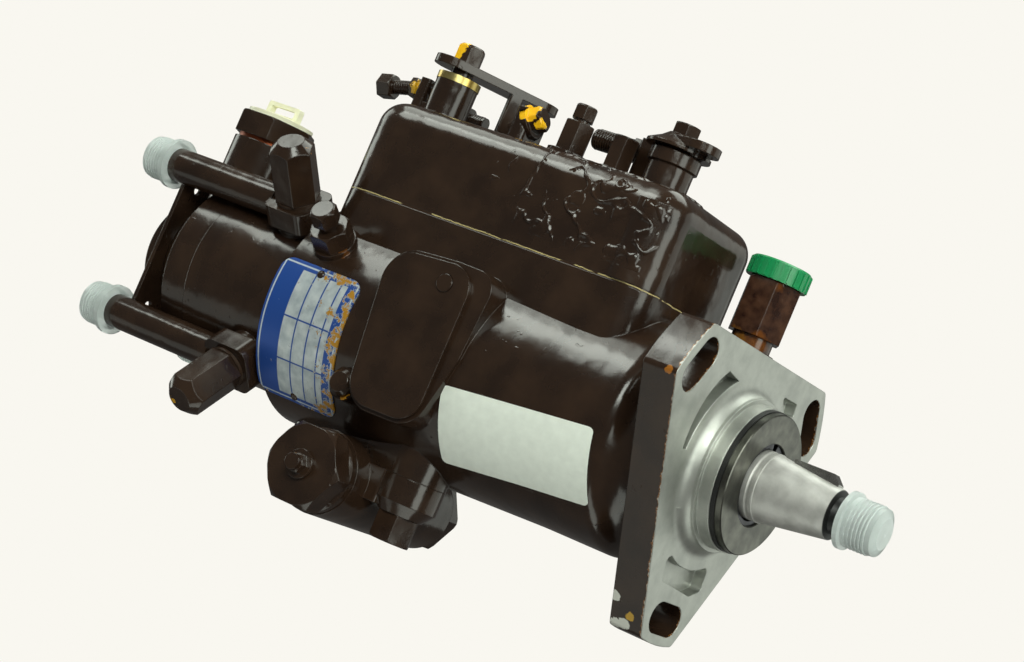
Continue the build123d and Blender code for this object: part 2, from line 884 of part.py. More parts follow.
with BuildPart() as shaft_circlip:
    with BuildSketch(forward(11.2)):
        Circle(seal_radius - fit_gap)
        Circle(12.0, mode=Mode.SUBTRACT)
        with Locations((0, 12.5)):
            Rectangle(3.0, 4.0, mode=Mode.SUBTRACT)
        for side in (-1, 1):
            with Locations((side * 2.4, 11.9)):
                Circle(1.2)
    extrude(amount=1.0)
    with BuildSketch(forward(11.2)):
        Circle(11.55)
    extrude(amount=1.0, mode=Mode.SUBTRACT)
shaft_circlip.part.label = "shaft_circlip"
export_step(shaft_circlip.part, "parts/shaft_circlip.step")

# ---------------------------------------------------------------- governor
with BuildPart() as weight_retainer:
    revolve(
        outline(
            [
                (-46.0, journal_radius + fit_gap),
                (-46.0, 26.0),
                (-49.5, 26.0),
                (-49.5, 13.2),
                (-50.0, 13.2),
                (-50.0, journal_radius + fit_gap),
            ]
        ),
        axis=Axis.X,
    )
    for number in range(weight_count):
        angle = 90.0 * number
        for side in (-1, 1):
            ear = meridian(angle, side * (weight_width / 2 + 1.55))
            with BuildSketch(ear):
                with Locations((weight_pivot[0] + 0.2, weight_pivot[1] - 0.5)):
                    Rectangle(7.0, 7.0)
            extrude(amount=1.25, both=True)
        with BuildSketch(meridian(angle)):
            with Locations(weight_pivot):
                Circle(weight_pin_radius)
        extrude(amount=weight_width / 2 + 3.0, both=True)
weight_retainer.part.label = "weight_retainer"
export_step(weight_retainer.part, "parts/weight_retainer.step")


def governor_weight(angle):
    """One flyweight: toe that pushes the sleeve, knuckle on the pin, heavy tail."""
    with BuildPart() as weight:
        with BuildSketch(meridian(angle)):
            with BuildLine():
                Polyline(
                    (-50.4, 13.9),
                    (-52.0, 13.9),
                    (-52.0, 17.9),
                    (-73.0, 17.9),
                    (-73.0, 25.0),
                    (-56.0, 25.0),
                    (-54.5, 26.6),
                    (-50.4, 24.0),
                    close=True,
                )
            make_face()
            with Locations(weight_pivot):
                Circle(2.9)
        extrude(amount=weight_width / 2, both=True)
        with BuildSketch(meridian(angle)):
            with Locations(weight_pivot):
                Circle(weight_pin_radius + running_gap)
        extrude(amount=weight_width / 2, both=True, mode=Mode.SUBTRACT)
    return weight.part


for number in range(weight_count):
    weight_label = f"governor_weight_{number + 1}"
    with BuildPart() as weight_piece:
        add(governor_weight(90.0 * number))
    weight_piece.part.label = weight_label
    export_step(weight_piece.part, f"parts/{weight_label}.step")

with BuildPart() as thrust_sleeve:
    sleeve_bore = journal_radius + running_gap
    add(tube(forward(sleeve_rear), 12.6, sleeve_bore, sleeve_front - sleeve_rear))
    add(tube(forward(sleeve_rear), sleeve_flange, sleeve_bore, 2.5))
    add(tube(forward(sleeve_front - 2.5), sleeve_flange, sleeve_bore, 2.5))
thrust_sleeve.part.label = "thrust_sleeve"
export_step(thrust_sleeve.part, "parts/thrust_sleeve.step")

with BuildPart() as governor_arm:
    with BuildSketch(forward(arm_x - arm_thickness / 2)):
        for side in (-1, 1):
            with Locations((side * 15.2, 14.5)):
                Rectangle(4.0, 35.0)
        with Locations((0, 31.0)):
            Rectangle(34.4, 8.0)
        with Locations((6.25, 44.0)):
            Rectangle(4.5, 22.0)
    extrude(amount=arm_thickness)
    for side in (-1, 1):
        add(bar(forward(arm_x + arm_thickness / 2, side * 14.8, -1.0), 3.2, 4.0, 1.2))
    add(rod(toward(arm_x, 19.6, arm_pivot_height), 4.0, 39.2))
    add(
        rod(toward(arm_x, 22.0, arm_pivot_height), pivot_pin + running_gap, 44.0),
        mode=Mode.SUBTRACT,
    )
    add(rod(toward(arm_x, 8.5, link_height), 3.2, 4.5))
    add(
        rod(toward(arm_x, 10.0, link_height), link_radius + running_gap, 10.0),
        mode=Mode.SUBTRACT,
    )
governor_arm.part.label = "governor_arm"
export_step(governor_arm.part, "parts/governor_arm.step")

with BuildPart() as linkage_rod:
    add(rod(toward(arm_x, 10.0 + link_radius, link_height), link_radius, 9.0))
    add(rod(forward(valve_x + 2.4, link_y, link_height), link_radius, arm_x - valve_x - 2.4))
    add(rod(upward(valve_x, link_y, link_height - 1.0), 3.2, 2.0))
    add(
        rod(upward(valve_x, link_y, link_height - 3.0), valve_pin + 0.3, 6.0),
        mode=Mode.SUBTRACT,
    )
linkage_rod.part.label = "linkage_rod"
export_step(linkage_rod.part, "parts/linkage_rod.step")

with BuildPart() as metering_valve:
    add(rod(upward(valve_x, 0, valve_foot), valve_radius, valve_arm - valve_foot))
    with BuildSketch(upward(valve_x, link_y / 2, valve_arm - 2.5)):
        SlotOverall(link_y + 8.0, 7.6, rotation=90)
    extrude(amount=2.5)
    add(rod(upward(valve_x, link_y, valve_arm), valve_pin, 5.0))
metering_valve.part.label = "metering_valve"
export_step(metering_valve.part, "parts/metering_valve.step")

with BuildPart() as control_bracket:
    for side in (-1, 1):
        cheek = side * (opening_half_width - 1.0)
        with BuildSketch(toward((bracket_start + arm_x + 5.0) / 2, cheek, arm_pivot_height + 0.5)):
            Rectangle(arm_x + 5.0 - bracket_start, 13.0)
        extrude(amount=1.0, both=True)
    with BuildSketch(upward(bracket_start + 4.0, 0, 39.0)):
        Rectangle(8.0, 2 * opening_half_width)
    extrude(amount=2.0)
    add(rod(toward(arm_x, opening_half_width, arm_pivot_height), pivot_pin, 2 * opening_half_width))
control_bracket.part.label = "control_bracket"
export_step(control_bracket.part, "parts/control_bracket.step")

# ---------------------------------------------------------------- hydraulic head
with BuildPart() as hydraulic_head:
    revolve(
        outline(
            [
                (head_seat, 0),
                (head_seat, spigot_radius - fit_gap),
                (housing_end, spigot_radius - fit_gap),
                (head_end, head_radius - 0.4),
                (head_end, 0),
            ]
        ),
        axis=Axis.X,
    )
    for angle in outlet_angles:
        add(rod(radial(outlet_x, angle, 30.0), outlet_boss, outlet_seat - 30.0))
    add(rod(forward(head_end - 1.0), rotor_radius + running_gap, 70.0), mode=Mode.SUBTRACT)
    for angle in outlet_angles:
        add(rod(radial(outlet_x, angle, 23.0), bolt_shank + fit_gap, 14.0), mode=Mode.SUBTRACT)
        add(rod(radial(outlet_x, angle, 8.0), 1.2, 16.0), mode=Mode.SUBTRACT)
    add(
        rod(upward(valve_x, 0, valve_foot - seat_gap), valve_radius + running_gap, 24.0),
        mode=Mode.SUBTRACT,
    )
    add(rod(radial(lock_x, lock_angle, 29.0), lock_tip + fit_gap, 6.0), mode=Mode.SUBTRACT)
hydraulic_head.part.label = "hydraulic_head"
export_step(hydraulic_head.part, "parts/hydraulic_head.step")

with BuildPart() as end_plate:
    revolve(
        outline(
            [
                (head_end, 0),
                (head_end, end_plate_rim),
                (head_end - end_plate_step, end_plate_rim),
                (head_end - end_plate_step, end_plate_radius),
                (end_plate_end + 2.0, end_plate_radius),
                (end_plate_end, end_plate_radius - 2.0),
                (end_plate_end, 0),
            ]
        ),
        axis=Axis.X,
    )
    add(rod(upward(inlet_x, 0, 0), inlet_column, column_top))
    add(rod(forward(head_end - liner_length - seat_gap), liner_radius, 12.0), mode=Mode.SUBTRACT)
    add(rod(upward(inlet_x, 0, 36.0), inlet_thread + fit_gap, 20.0), mode=Mode.SUBTRACT)
    add(rod(upward(inlet_x, 0, 26.0), 5.0, 20.0), mode=Mode.SUBTRACT)
    add(rod(upward(inlet_x, 0, 8.0), spindle_radius + running_gap, 20.0), mode=Mode.SUBTRACT)
end_plate.part.label = "end_plate"
export_step(end_plate.part, "parts/end_plate.step")

with BuildPart() as transfer_pump_liner:
    with BuildSketch(forward(head_end - liner_length)):
        Circle(liner_radius - fit_gap)
        with Locations((1.0, 0)):
            Circle(15.0, mode=Mode.SUBTRACT)
    extrude(amount=liner_length)
transfer_pump_liner.part.label = "transfer_pump_liner"
export_step(transfer_pump_liner.part, "parts/transfer_pump_liner.step")

with BuildPart() as transfer_pump_rotor:
    with BuildSketch(forward(head_end - liner_length + seat_gap)):
        Circle(12.6)
        for turn in (0, 90):
            Rectangle(27.0, 2.0, rotation=turn)
        Circle(rotor_tail + fit_gap, mode=Mode.SUBTRACT)
    extrude(amount=liner_length - 2 * seat_gap)
transfer_pump_rotor.part.label = "transfer_pump_rotor"
export_step(transfer_pump_rotor.part, "parts/transfer_pump_rotor.step")

with BuildPart() as distributor_rotor:
    revolve(
        outline(
            [
                (-90.0, 0),
                (-90.0, rotor_stub),
                (drum_end, rotor_stub),
                (drum_end, rotor_drum),
                (2 * cam_x - drum_end, rotor_drum),
                (2 * cam_x - drum_end, rotor_radius),
                (head_end + 0.5, rotor_radius),
                (head_end + 0.5, rotor_tail),
                (head_end - liner_length + 0.5, rotor_tail),
                (head_end - liner_length + 0.5, 0),
            ]
        ),
        axis=Axis.X,
    )
    add(rod(upward(cam_x, 0, -30.0), plunger_radius + running_gap, 60.0), mode=Mode.SUBTRACT)
    for side in (-1, 1):
        with BuildSketch(upward(cam_x, 0, side * 17.6)):
            Rectangle(shoe_length + 0.6, 2 * shoe_half + 0.4)
        extrude(amount=8.0, both=True, mode=Mode.SUBTRACT)
distributor_rotor.part.label = "distributor_rotor"
export_step(distributor_rotor.part, "parts/distributor_rotor.step")

for number, side in ((1, 1), (2, -1)):
    plunger_label = f"pumping_plunger_{number}"
    with BuildPart() as plunger_piece:
        if side == 1:
            outward = upward(cam_x, 0, 0)
        else:
            outward = Plane(origin=(cam_x, 0, 0), x_dir=(1, 0, 0), z_dir=(0, 0, -1))
        add(rod(outward.offset(1.2), plunger_radius, 9.0))
        add(bar(outward.offset(10.0), shoe_length, 2 * shoe_half, 5.5, 0.4))
        add(rod(forward(cam_x - shoe_length / 2, 0, side * roller_place), roller_radius, shoe_length))
    plunger_piece.part.label = plunger_label
    export_step(plunger_piece.part, f"parts/{plunger_label}.step")

with BuildPart() as cam_ring:
    with BuildSketch(forward(cam_x - cam_width / 2)):
        Circle(cam_base_radius)
        with PolarLocations(cam_base_radius + 9.0 - cam_lobe_height, cam_lobes, start_angle=45):
            Circle(9.0, mode=Mode.SUBTRACT)
        Circle(cavity_radius - running_gap, mode=Mode.ADD)
        Circle(cam_base_radius, mode=Mode.SUBTRACT)
        with PolarLocations(cam_base_radius + 9.0 - cam_lobe_height, cam_lobes, start_angle=45):
            Circle(9.0)
        Circle(cavity_radius - running_gap, mode=Mode.INTERSECT)
    extrude(amount=cam_width)
    add(rod(upward(cam_x, 0, advance_z), stem_radius, -advance_z - 28.0))
    add(
        turned(
            upward(cam_x, 0, advance_z),
            [(0, -4.5), (2.6, -3.7), (4.1, -1.9), (4.5, 0), (4.1, 1.9), (2.6, 3.7), (0, 4.5)],
        )
    )
cam_ring.part.label = "cam_ring"
export_step(cam_ring.part, "parts/cam_ring.step")

with BuildPart() as regulating_piston:
    add(rod(upward(inlet_x, 0, 12.0), spindle_radius, 10.0))
regulating_piston.part.label = "regulating_piston"
export_step(regulating_piston.part, "parts/regulating_piston.step")

# ---------------------------------------------------------------- delivery outlets and inlet
with BuildPart() as outlet_banjos:
    for angle in outlet_angles:
        block = radial(outlet_x, angle, outlet_seat + washer_thickness)
        add(bar(block, 19.0, 18.0, banjo_height, 4.0))
        y, z = polar_point(outlet_reach, angle)
        add(rod(forward(pipe_end, y, z), outlet_pipe, outlet_x - 8.8 - pipe_end))
        add(rod(forward(pipe_end - 7.0, y, z), pipe_nose, 8.0))
    for angle in outlet_angles:
        y, z = polar_point(outlet_reach, angle)
        add(rod(forward(pipe_end - 8.0, y, z), 2.2, outlet_x - pipe_end), mode=Mode.SUBTRACT)
        add(rod(radial(outlet_x, angle, 30.0), bolt_shank + fit_gap, 30.0), mode=Mode.SUBTRACT)
outlet_banjos.part.label = "outlet_banjos"
export_step(outlet_banjos.part, "parts/outlet_banjos.step")

with BuildPart() as banjo_bolts:
    for angle in outlet_angles:
        seat = outlet_seat + 2 * washer_thickness + banjo_height
        add(hexagon(radial(outlet_x, angle, seat), 14.0, bolt_reach - seat, 3.6))
        add(rod(radial(outlet_x, angle, 24.5), bolt_shank, seat - 24.5))
banjo_bolts.part.label = "banjo_bolts"
export_step(banjo_bolts.part, "parts/banjo_bolts.step")

with BuildPart() as sealing_washers:
    for angle in outlet_angles:
        for place in (outlet_seat, outlet_seat + washer_thickness + banjo_height):
            add(tube(radial(outlet_x, angle, place), 7.6, bolt_shank + fit_gap, washer_thickness))
    add(tube(upward(inlet_x, 0, column_top), 12.2, inlet_thread + fit_gap, 1.4))
sealing_washers.part.label = "sealing_washers"
export_step(sealing_washers.part, "parts/sealing_washers.step")

with BuildPart() as outlet_caps:
    for angle in outlet_angles:
        y, z = polar_point(outlet_reach, angle)
        add(tube(forward(pipe_end - 1.8, y, z), 9.0, pipe_nose + fit_gap, 1.8))
        add(tube(forward(pipe_end - 9.0, y, z), 7.5, pipe_nose + fit_gap, 7.4))
        add(rod(forward(pipe_end - 10.9, y, z), 7.5, 2.0))
outlet_caps.part.label = "outlet_caps"
export_step(outlet_caps.part, "parts/outlet_caps.step")

with BuildPart() as outlet_tie_plate:
    with BuildSketch(forward(tie_plate_x)):
        Rectangle(2 * tie_plate_half, 2 * tie_plate_half)
        Circle(tie_plate_hole, mode=Mode.SUBTRACT)
        with Locations((0, 30.0)):
            Rectangle(2 * inlet_column + 1.0, 60.0, mode=Mode.SUBTRACT)
        for angle in outlet_angles:
            with Locations(polar_point(outlet_reach, angle)):
                Circle(outlet_pipe + fit_gap, mode=Mode.SUBTRACT)
        with GridLocations(41.0, 45.0, 2, 2):
            Circle(1.8, mode=Mode.SUBTRACT)
    extrude(amount=1.5)
outlet_tie_plate.part.label = "outlet_tie_plate"
export_step(outlet_tie_plate.part, "parts/outlet_tie_plate.step")

with BuildPart() as inlet_connection:
    add(hexagon(upward(inlet_x, 0, column_top + 1.4), 26.0, inlet_top - column_top - 1.4, 1.2))
    add(rod(upward(inlet_x, 0, 38.0), inlet_thread, column_top + 2.0 - 38.0))
    add(rod(upward(inlet_x, 0, 37.0), 6.0, 30.0), mode=Mode.SUBTRACT)
inlet_connection.part.label = "inlet_connection"
export_step(inlet_connection.part, "parts/inlet_connection.step")

with BuildPart() as inlet_plug:
    add(
        turned(
            upward(inlet_x, 0, inlet_top),
            [(0, -9.0), (5.9, -9.0), (5.9, 0), (12.4, 0), (12.4, 1.6), (6.5, 2.4), (0, 2.4)],
        )
    )
    with BuildSketch(toward(inlet_x, 1.5, inlet_top + 4.4)):
        RectangleRounded(15.0, 5.6, 1.0)
        RectangleRounded(11.4, 2.6, 0.8, mode=Mode.SUBTRACT)
    extrude(amount=3.0)
inlet_plug.part.label = "inlet_plug"
export_step(inlet_plug.part, "parts/inlet_plug.step")

# ---------------------------------------------------------------- timing advance
with BuildPart() as advance_housing:
    extrude(upward(0, 0, advance_joint - 6.0) * hull_of(advance_pad_rounds), amount=6.0)
    add(bar(upward(-107.0, -17.5, advance_joint - 11.5), 9.0, 12.0, 11.5, 1.0))
    add(rod(toward(cam_x, advance_length / 2, advance_z), advance_barrel, advance_length))
    for x, y, size in advance_fixings:
        add(
            turned(
                upward(x, y, advance_joint),
                [
                    (0, 0),
                    (size, 0),
                    (size, -8.5),
                    (size - 3.5, advance_foot - advance_joint),
                    (0, advance_foot - advance_joint),
                ],
            )
        )
    with BuildSketch(upward(cam_x, 0, advance_joint)):
        Rectangle(60.0, 2 * advance_cut_half)
    extrude(amount=8.0, mode=Mode.SUBTRACT)
    add(
        rod(toward(cam_x, advance_length / 2, advance_z), advance_bore + running_gap, advance_length),
        mode=Mode.SUBTRACT,
    )
    for side in (-1, 1):
        add(
            rod(toward(cam_x, side * (advance_length / 2 - 5.5) + 5.5, advance_z), 11.5, 11.0),
            mode=Mode.SUBTRACT,
        )
    for x, y, boss in advance_fixings:
        add(
            rod(upward(x, y, advance_foot), advance_thread_radius + fit_gap, 14.0),
            mode=Mode.SUBTRACT,
        )
    with BuildSketch(upward(cam_x, advance_slot_y, advance_z + 4.0)):
        SlotOverall(advance_slot_length, advance_slot_width, rotation=90)
    extrude(amount=8.0, mode=Mode.SUBTRACT)
advance_housing.part.label = "advance_housing"
export_step(advance_housing.part, "parts/advance_housing.step")

with BuildPart() as advance_fixings_part:
    for (x, y, boss), size in zip(advance_fixings, advance_hexes):
        add(rod(upward(x, y, advance_foot), advance_thread_radius, advance_joint + 5.0 - advance_foot))
        down = Plane(origin=(x, y, advance_foot), x_dir=(1, 0, 0), z_dir=(0, 0, -1))
        add(hexagon(down, size, 9.4, 1.0))
advance_fixings_part.part.label = "advance_fixings"
export_step(advance_fixings_part.part, "parts/advance_fixings.step")

with BuildPart() as advance_piston:
    add(rod(toward(cam_x, 13.0, advance_z), advance_bore, 26.0))
    add(
        rod(upward(cam_x, 0, advance_z - 5.0), ball_radius + running_gap, 20.0),
        mode=Mode.SUBTRACT,
    )
    add(rod(upward(cam_x, 0, advance_z + 4.1), 6.0, 10.0), mode=Mode.SUBTRACT)
advance_piston.part.label = "advance_piston"
export_step(advance_piston.part, "parts/advance_piston.step")

end_face = advance_length / 2
with BuildPart() as advance_spring_cap:
    near_end = toward(cam_x, -end_face, advance_z)
    add(
        turned(
            near_end,
            [(0, -10.5), (11.45, -10.5), (11.45, 0), (14.2, 0), (14.2, 2.6), (13.4, 3.4), (0, 3.4)],
        )
    )
    add(hexagon(near_end.offset(3.4), 26.5, 8.0, 2.2))
    add(rod(near_end.offset(-11.0), 7.5, 18.0), mode=Mode.SUBTRACT)
    add(rod(near_end.offset(5.0), adjuster_radius + fit_gap, 10.0), mode=Mode.SUBTRACT)
advance_spring_cap.part.label = "advance_spring_cap"
export_step(advance_spring_cap.part, "parts/advance_spring_cap.step")

with BuildPart() as advance_adjuster:
    add(rod(near_end.offset(11.4), 5.0, 1.4))
    add(hexagon(near_end.offset(12.8), 6.0, 2.4, 0.6))
    add(rod(near_end.offset(2.0), adjuster_radius, 15.0))
advance_adjuster.part.label = "advance_adjuster"
export_step(advance_adjuster.part, "parts/advance_adjuster.step")

with BuildPart() as advance_end_plug:
    far_end = Plane(origin=(cam_x, end_face, advance_z), x_dir=(1, 0, 0), z_dir=(0, 1, 0))
    add(hexagon(far_end, 24.0, 7.0, 1.2))
    add(rod(far_end.offset(-10.5), 11.45, 11.0))
    add(rod(far_end.offset(-11.0), 7.5, 10.0), mode=Mode.SUBTRACT)
advance_end_plug.part.label = "advance_end_plug"
export_step(advance_end_plug.part, "parts/advance_end_plug.step")

# ---------------------------------------------------------------- fittings on the housing
with BuildPart() as inspection_cover:
    extrude(Plane.XZ.offset(pad_face) * hull_of(inspection_rounds), amount=inspection_thickness)
    add(
        rod(toward(plate_screw[0], -pad_face, plate_screw[1]), 3.0 + fit_gap, 4.0),
        mode=Mode.SUBTRACT,
    )
inspection_cover.part.label = "inspection_cover"
export_step(inspection_cover.part, "parts/inspection_cover.step")

with BuildPart() as body_screws:
    add(
        turned(
            toward(side_screw[0], -side_seat, side_screw[1]),
            [(0, -5.0), (screw_shank, -5.0), (screw_shank, 0), (4.6, 0), (4.6, 1.6), (3.4, 3.0), (0, 3.4)],
        )
    )
    add(
        turned(
            toward(plate_screw[0], -pad_face, plate_screw[1]),
            [(0, -5.0), (screw_shank, -5.0), (screw_shank, 0), (3.0, 0), (3.0, 2.0), (0, 2.0)],
        )
    )
body_screws.part.label = "body_screws"
export_step(body_screws.part, "parts/body_screws.step")

with BuildPart() as nameplate:
    with BuildSketch(forward(housing_end + 0.5)):
        with BuildLine():
            inner = CenterArc((0, 0), drum_radius + fit_gap, plate_angle, plate_sweep)
            outer = CenterArc((0, 0), drum_radius + 0.6, plate_angle, plate_sweep)
            Line(inner @ 0, outer @ 0)
            Line(inner @ 1, outer @ 1)
        make_face()
    extrude(amount=plate_length)
    fillet(nameplate.edges().filter_by(lambda edge: edge.length < 1.0), plate_corner)
nameplate.part.label = "nameplate"
export_step(nameplate.part, "parts/nameplate.step")

with BuildPart() as head_locking_bolt:
    lock_seat = radial(lock_x, lock_angle, drum_radius + lock_rise)
    add(hexagon(lock_seat, 12.5, 6.8, 1.0))
    add(
        turned(
            lock_seat,
            [
                (0, spigot_radius - 1.0 - drum_radius - lock_rise),
                (lock_thread_radius - fit_gap, spigot_radius + 0.5 - drum_radius - lock_rise),
                (lock_thread_radius - fit_gap, 0.5),
                (0, 0.5),
            ],
        )
    )
    add(rod(lock_seat.offset(1.0), screw_shank + fit_gap, 8.0), mode=Mode.SUBTRACT)
head_locking_bolt.part.label = "head_locking_bolt"
export_step(head_locking_bolt.part, "parts/head_locking_bolt.step")

with BuildPart() as bleed_screw:
    add(rod(lock_seat.offset(1.5), screw_shank, 6.0))
    add(rod(lock_seat.offset(6.8), 3.4, 2.4))
    add(hexagon(lock_seat.offset(9.0), 8.4, 6.0, 1.2))
bleed_screw.part.label = "bleed_screw"
export_step(bleed_screw.part, "parts/bleed_screw.step")

with BuildPart() as back_leak_connector:
    add(rod(upward(leak_x, leak_y, leak_seat - 7.5), leak_thread_radius - fit_gap, 8.0))
    add(rod(upward(leak_x, leak_y, leak_seat), 7.0, leak_hex - leak_seat + 0.2))
    add(hexagon(upward(leak_x, leak_y, leak_hex), 17.0, leak_hex_top - leak_hex, 1.0))
    add(rod(upward(leak_x, leak_y, leak_hex_top - 0.5), leak_spigot, 3.4))
    add(rod(upward(leak_x, leak_y, leak_seat - 8.0), 3.0, 40.0), mode=Mode.SUBTRACT)
back_leak_connector.part.label = "back_leak_connector"
export_step(back_leak_connector.part, "parts/back_leak_connector.step")

with BuildPart() as back_leak_cap:
    add(rod(upward(leak_x, leak_y, leak_hex_top), 10.3, 6.6))
    chamfer(back_leak_cap.faces().sort_by(Axis.Z)[-1].edges(), 0.6)
    add(
        rod(upward(leak_x, leak_y, leak_hex_top - 1.0), leak_spigot + fit_gap, 4.2),
        mode=Mode.SUBTRACT,
    )
back_leak_cap.part.label = "back_leak_cap"
export_step(back_leak_cap.part, "parts/back_leak_cap.step")
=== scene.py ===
# %% [markdown]
# # A diesel injection pump, dressed for the camera
# The solids come from a CAD pack, so their sizes and places are fixed. This lesson
# gives each one a finish worked out from what the real part is made of, adds the
# small pieces that a CAD model leaves out, and lights the whole like a catalogue shot.

# %% Load the frame
import math

import bmesh
import bpy
from mathutils import Matrix, Vector
from mathutils import noise as perlin
from mathutils.bvhtree import BVHTree


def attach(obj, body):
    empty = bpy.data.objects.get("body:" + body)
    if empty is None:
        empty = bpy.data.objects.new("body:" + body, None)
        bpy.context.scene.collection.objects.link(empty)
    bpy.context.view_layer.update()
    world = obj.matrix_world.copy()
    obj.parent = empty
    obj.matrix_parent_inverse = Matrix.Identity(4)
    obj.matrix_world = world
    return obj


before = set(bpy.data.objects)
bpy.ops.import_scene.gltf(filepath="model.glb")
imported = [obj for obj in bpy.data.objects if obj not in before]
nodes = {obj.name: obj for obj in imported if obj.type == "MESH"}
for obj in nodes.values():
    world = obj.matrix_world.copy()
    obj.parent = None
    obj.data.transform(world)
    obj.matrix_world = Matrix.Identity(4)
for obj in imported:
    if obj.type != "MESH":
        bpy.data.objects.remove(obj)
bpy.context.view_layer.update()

MM = 0.001

# %% [markdown]
# Colours are easiest to judge as the hex values of a colour picker. Blender's shaders
# expect linear light, so one function does the conversion for every material. Writing
# a node graph out line by line gets long, so another adds a node with its settings and
# its links, and every finish is built with it.

# %% Colour and node helpers


def linear(code):
    """An sRGB hex colour as linear RGBA."""
    parts = [int(code[i : i + 2], 16) / 255 for i in (1, 3, 5)]
    return [p / 12.92 if p <= 0.04045 else ((p + 0.055) / 1.055) ** 2.4 for p in parts] + [1.0]


def add_node(tree, kind, settings=None, links=None):
    """Adds a node, sets its properties and sockets, and links sockets given as (node, socket)."""
    node = tree.nodes.new(kind)
    for name, value in (settings or {}).items():
        if isinstance(name, str) and hasattr(node, name):
            setattr(node, name, value)
        else:
            node.inputs[name].default_value = value
    for name, source in (links or {}).items():
        tree.links.new(source[0].outputs[source[1]], node.inputs[name])
    return node


def new_material(name):
    """An empty material with a Principled shader, and its tree, shader and object coordinates."""
    material = bpy.data.materials.new(name)
    material.use_nodes = True
    tree = material.node_tree
    tree.nodes.clear()
    shader = add_node(tree, "ShaderNodeBsdfPrincipled")
    add_node(tree, "ShaderNodeOutputMaterial", links={"Surface": (shader, "BSDF")})
    place = add_node(tree, "ShaderNodeTexCoord")
    return material, tree, shader, place


def noise(tree, place, grain_mm, detail=3.0, roughness=0.5):
    """Noise whose features are about grain_mm across."""
    return add_node(
        tree,
        "ShaderNodeTexNoise",
        {"Scale": 1.0 / (grain_mm * MM), "Detail": detail, "Roughness": roughness},
        {"Vector": (place, "Object")},
    )


def ramp(tree, source, stops):
    """A colour ramp over a (node, socket), from (position, colour) stops."""
    node = add_node(tree, "ShaderNodeValToRGB", links={0: source})
    band = node.color_ramp
    while len(band.elements) < len(stops):
        band.elements.new(0.5)
    for element, (position, colour) in zip(band.elements, stops):
        element.position = position
        element.color = colour if not isinstance(colour, str) else linear(colour)
    return node


def mask(tree, source, low, high):
    """0 below low and 1 above high, for a (node, socket)."""
    return add_node(
        tree,
        "ShaderNodeMapRange",
        {"From Min": low, "From Max": high},
        {"Value": source},
    )


def maths(tree, operation, a, b=None):
    """A Math node; a and b are numbers or (node, socket)."""
    node = add_node(tree, "ShaderNodeMath", {"operation": operation})
    for index, value in enumerate((a, b)):
        if value is None:
            continue
        if isinstance(value, tuple):
            tree.links.new(value[0].outputs[value[1]], node.inputs[index])
        else:
            node.inputs[index].default_value = value
    return node


def blend_colour(tree, factor, a, b):
    """Mixes two colours, hex or (node, socket), by a (node, socket)."""
    node = add_node(tree, "ShaderNodeMix", {"data_type": "RGBA"})
    tree.links.new(factor[0].outputs[factor[1]], node.inputs[0])
    for index, value in ((6, a), (7, b)):
        if isinstance(value, str):
            node.inputs[index].default_value = linear(value)
        else:
            tree.links.new(value[0].outputs[value[1]], node.inputs[index])
    return node


def bump(tree, height, distance_mm, strength=1.0):
    return add_node(
        tree,
        "ShaderNodeBump",
        {"Distance": distance_mm * MM, "Strength": strength},
        {"Height": height},
    )


def axis_values(tree, place):
    """Object X, Y and Z in metres."""
    return add_node(tree, "ShaderNodeSeparateXYZ", links={0: (place, "Object")})


print("helpers ready")

# %% [markdown]
# The pump is covered in a thick gloss paint, nearly black with a red-brown cast. Thick
# enamel flows before it dries, so its film is wavy on a scale of about a centimetre and
# has a faint orange peel. A separate coat layer could carry the gloss, but one fairly
# smooth layer over a dark base already gives bent reflections with soft ends. Dabs of
# seal paint and rust sit on top.

# %% Gloss paint and dabs
PAINT = "#34251B"
PAINT_DARK = "#261A13"
PAINT_ROUGHNESS = 0.17
YELLOW = "#FFC21E"
RUST = "#64370F"
EDGE_MM = 0.5  # radius that thick paint gives to a sharp edge
WAVE_GRAIN = 9.0  # sizes in mm of the film's waves, of its orange peel and of dust nibs
PEEL_GRAIN = 0.9
DUST_GRAIN = 1.6


def distance_from(tree, place, point_mm):
    """Distance in metres from a point given in mm, as (node, socket)."""
    moved = add_node(
        tree, "ShaderNodeVectorMath", {"operation": "SUBTRACT"}, {0: (place, "Object")}
    )
    moved.inputs[1].default_value = [c * MM for c in point_mm]
    far = add_node(tree, "ShaderNodeVectorMath", {"operation": "LENGTH"}, {0: (moved, 0)})
    return (far, "Value")


def dabbed(tree, place, colour, dabs, soft_mm=0.2):
    """Colour with ragged dabs on it, each given as (x, y, z, radius, hex) in mm."""
    for x, y, z, radius, code in dabs:
        ragged = noise(tree, place, radius * 0.9, 3.0, 0.6)
        reach = maths(tree, "MULTIPLY_ADD", (ragged, "Fac"), 1.2 * radius * MM)
        reach.inputs[2].default_value = 0.4 * radius * MM
        inside = maths(tree, "SUBTRACT", (reach, 0), distance_from(tree, place, (x, y, z)))
        edge = mask(tree, (inside, 0), 0.0, soft_mm * MM)
        colour = (blend_colour(tree, (edge, 0), colour, code), 2)
    return colour


def enamel_tone(tree, place, dark=PAINT_DARK, light=PAINT, grain_mm=14.0):
    cloud = noise(tree, place, grain_mm, 4.0)
    return (ramp(tree, (cloud, "Fac"), [(0.35, dark), (0.65, light)]), "Color")


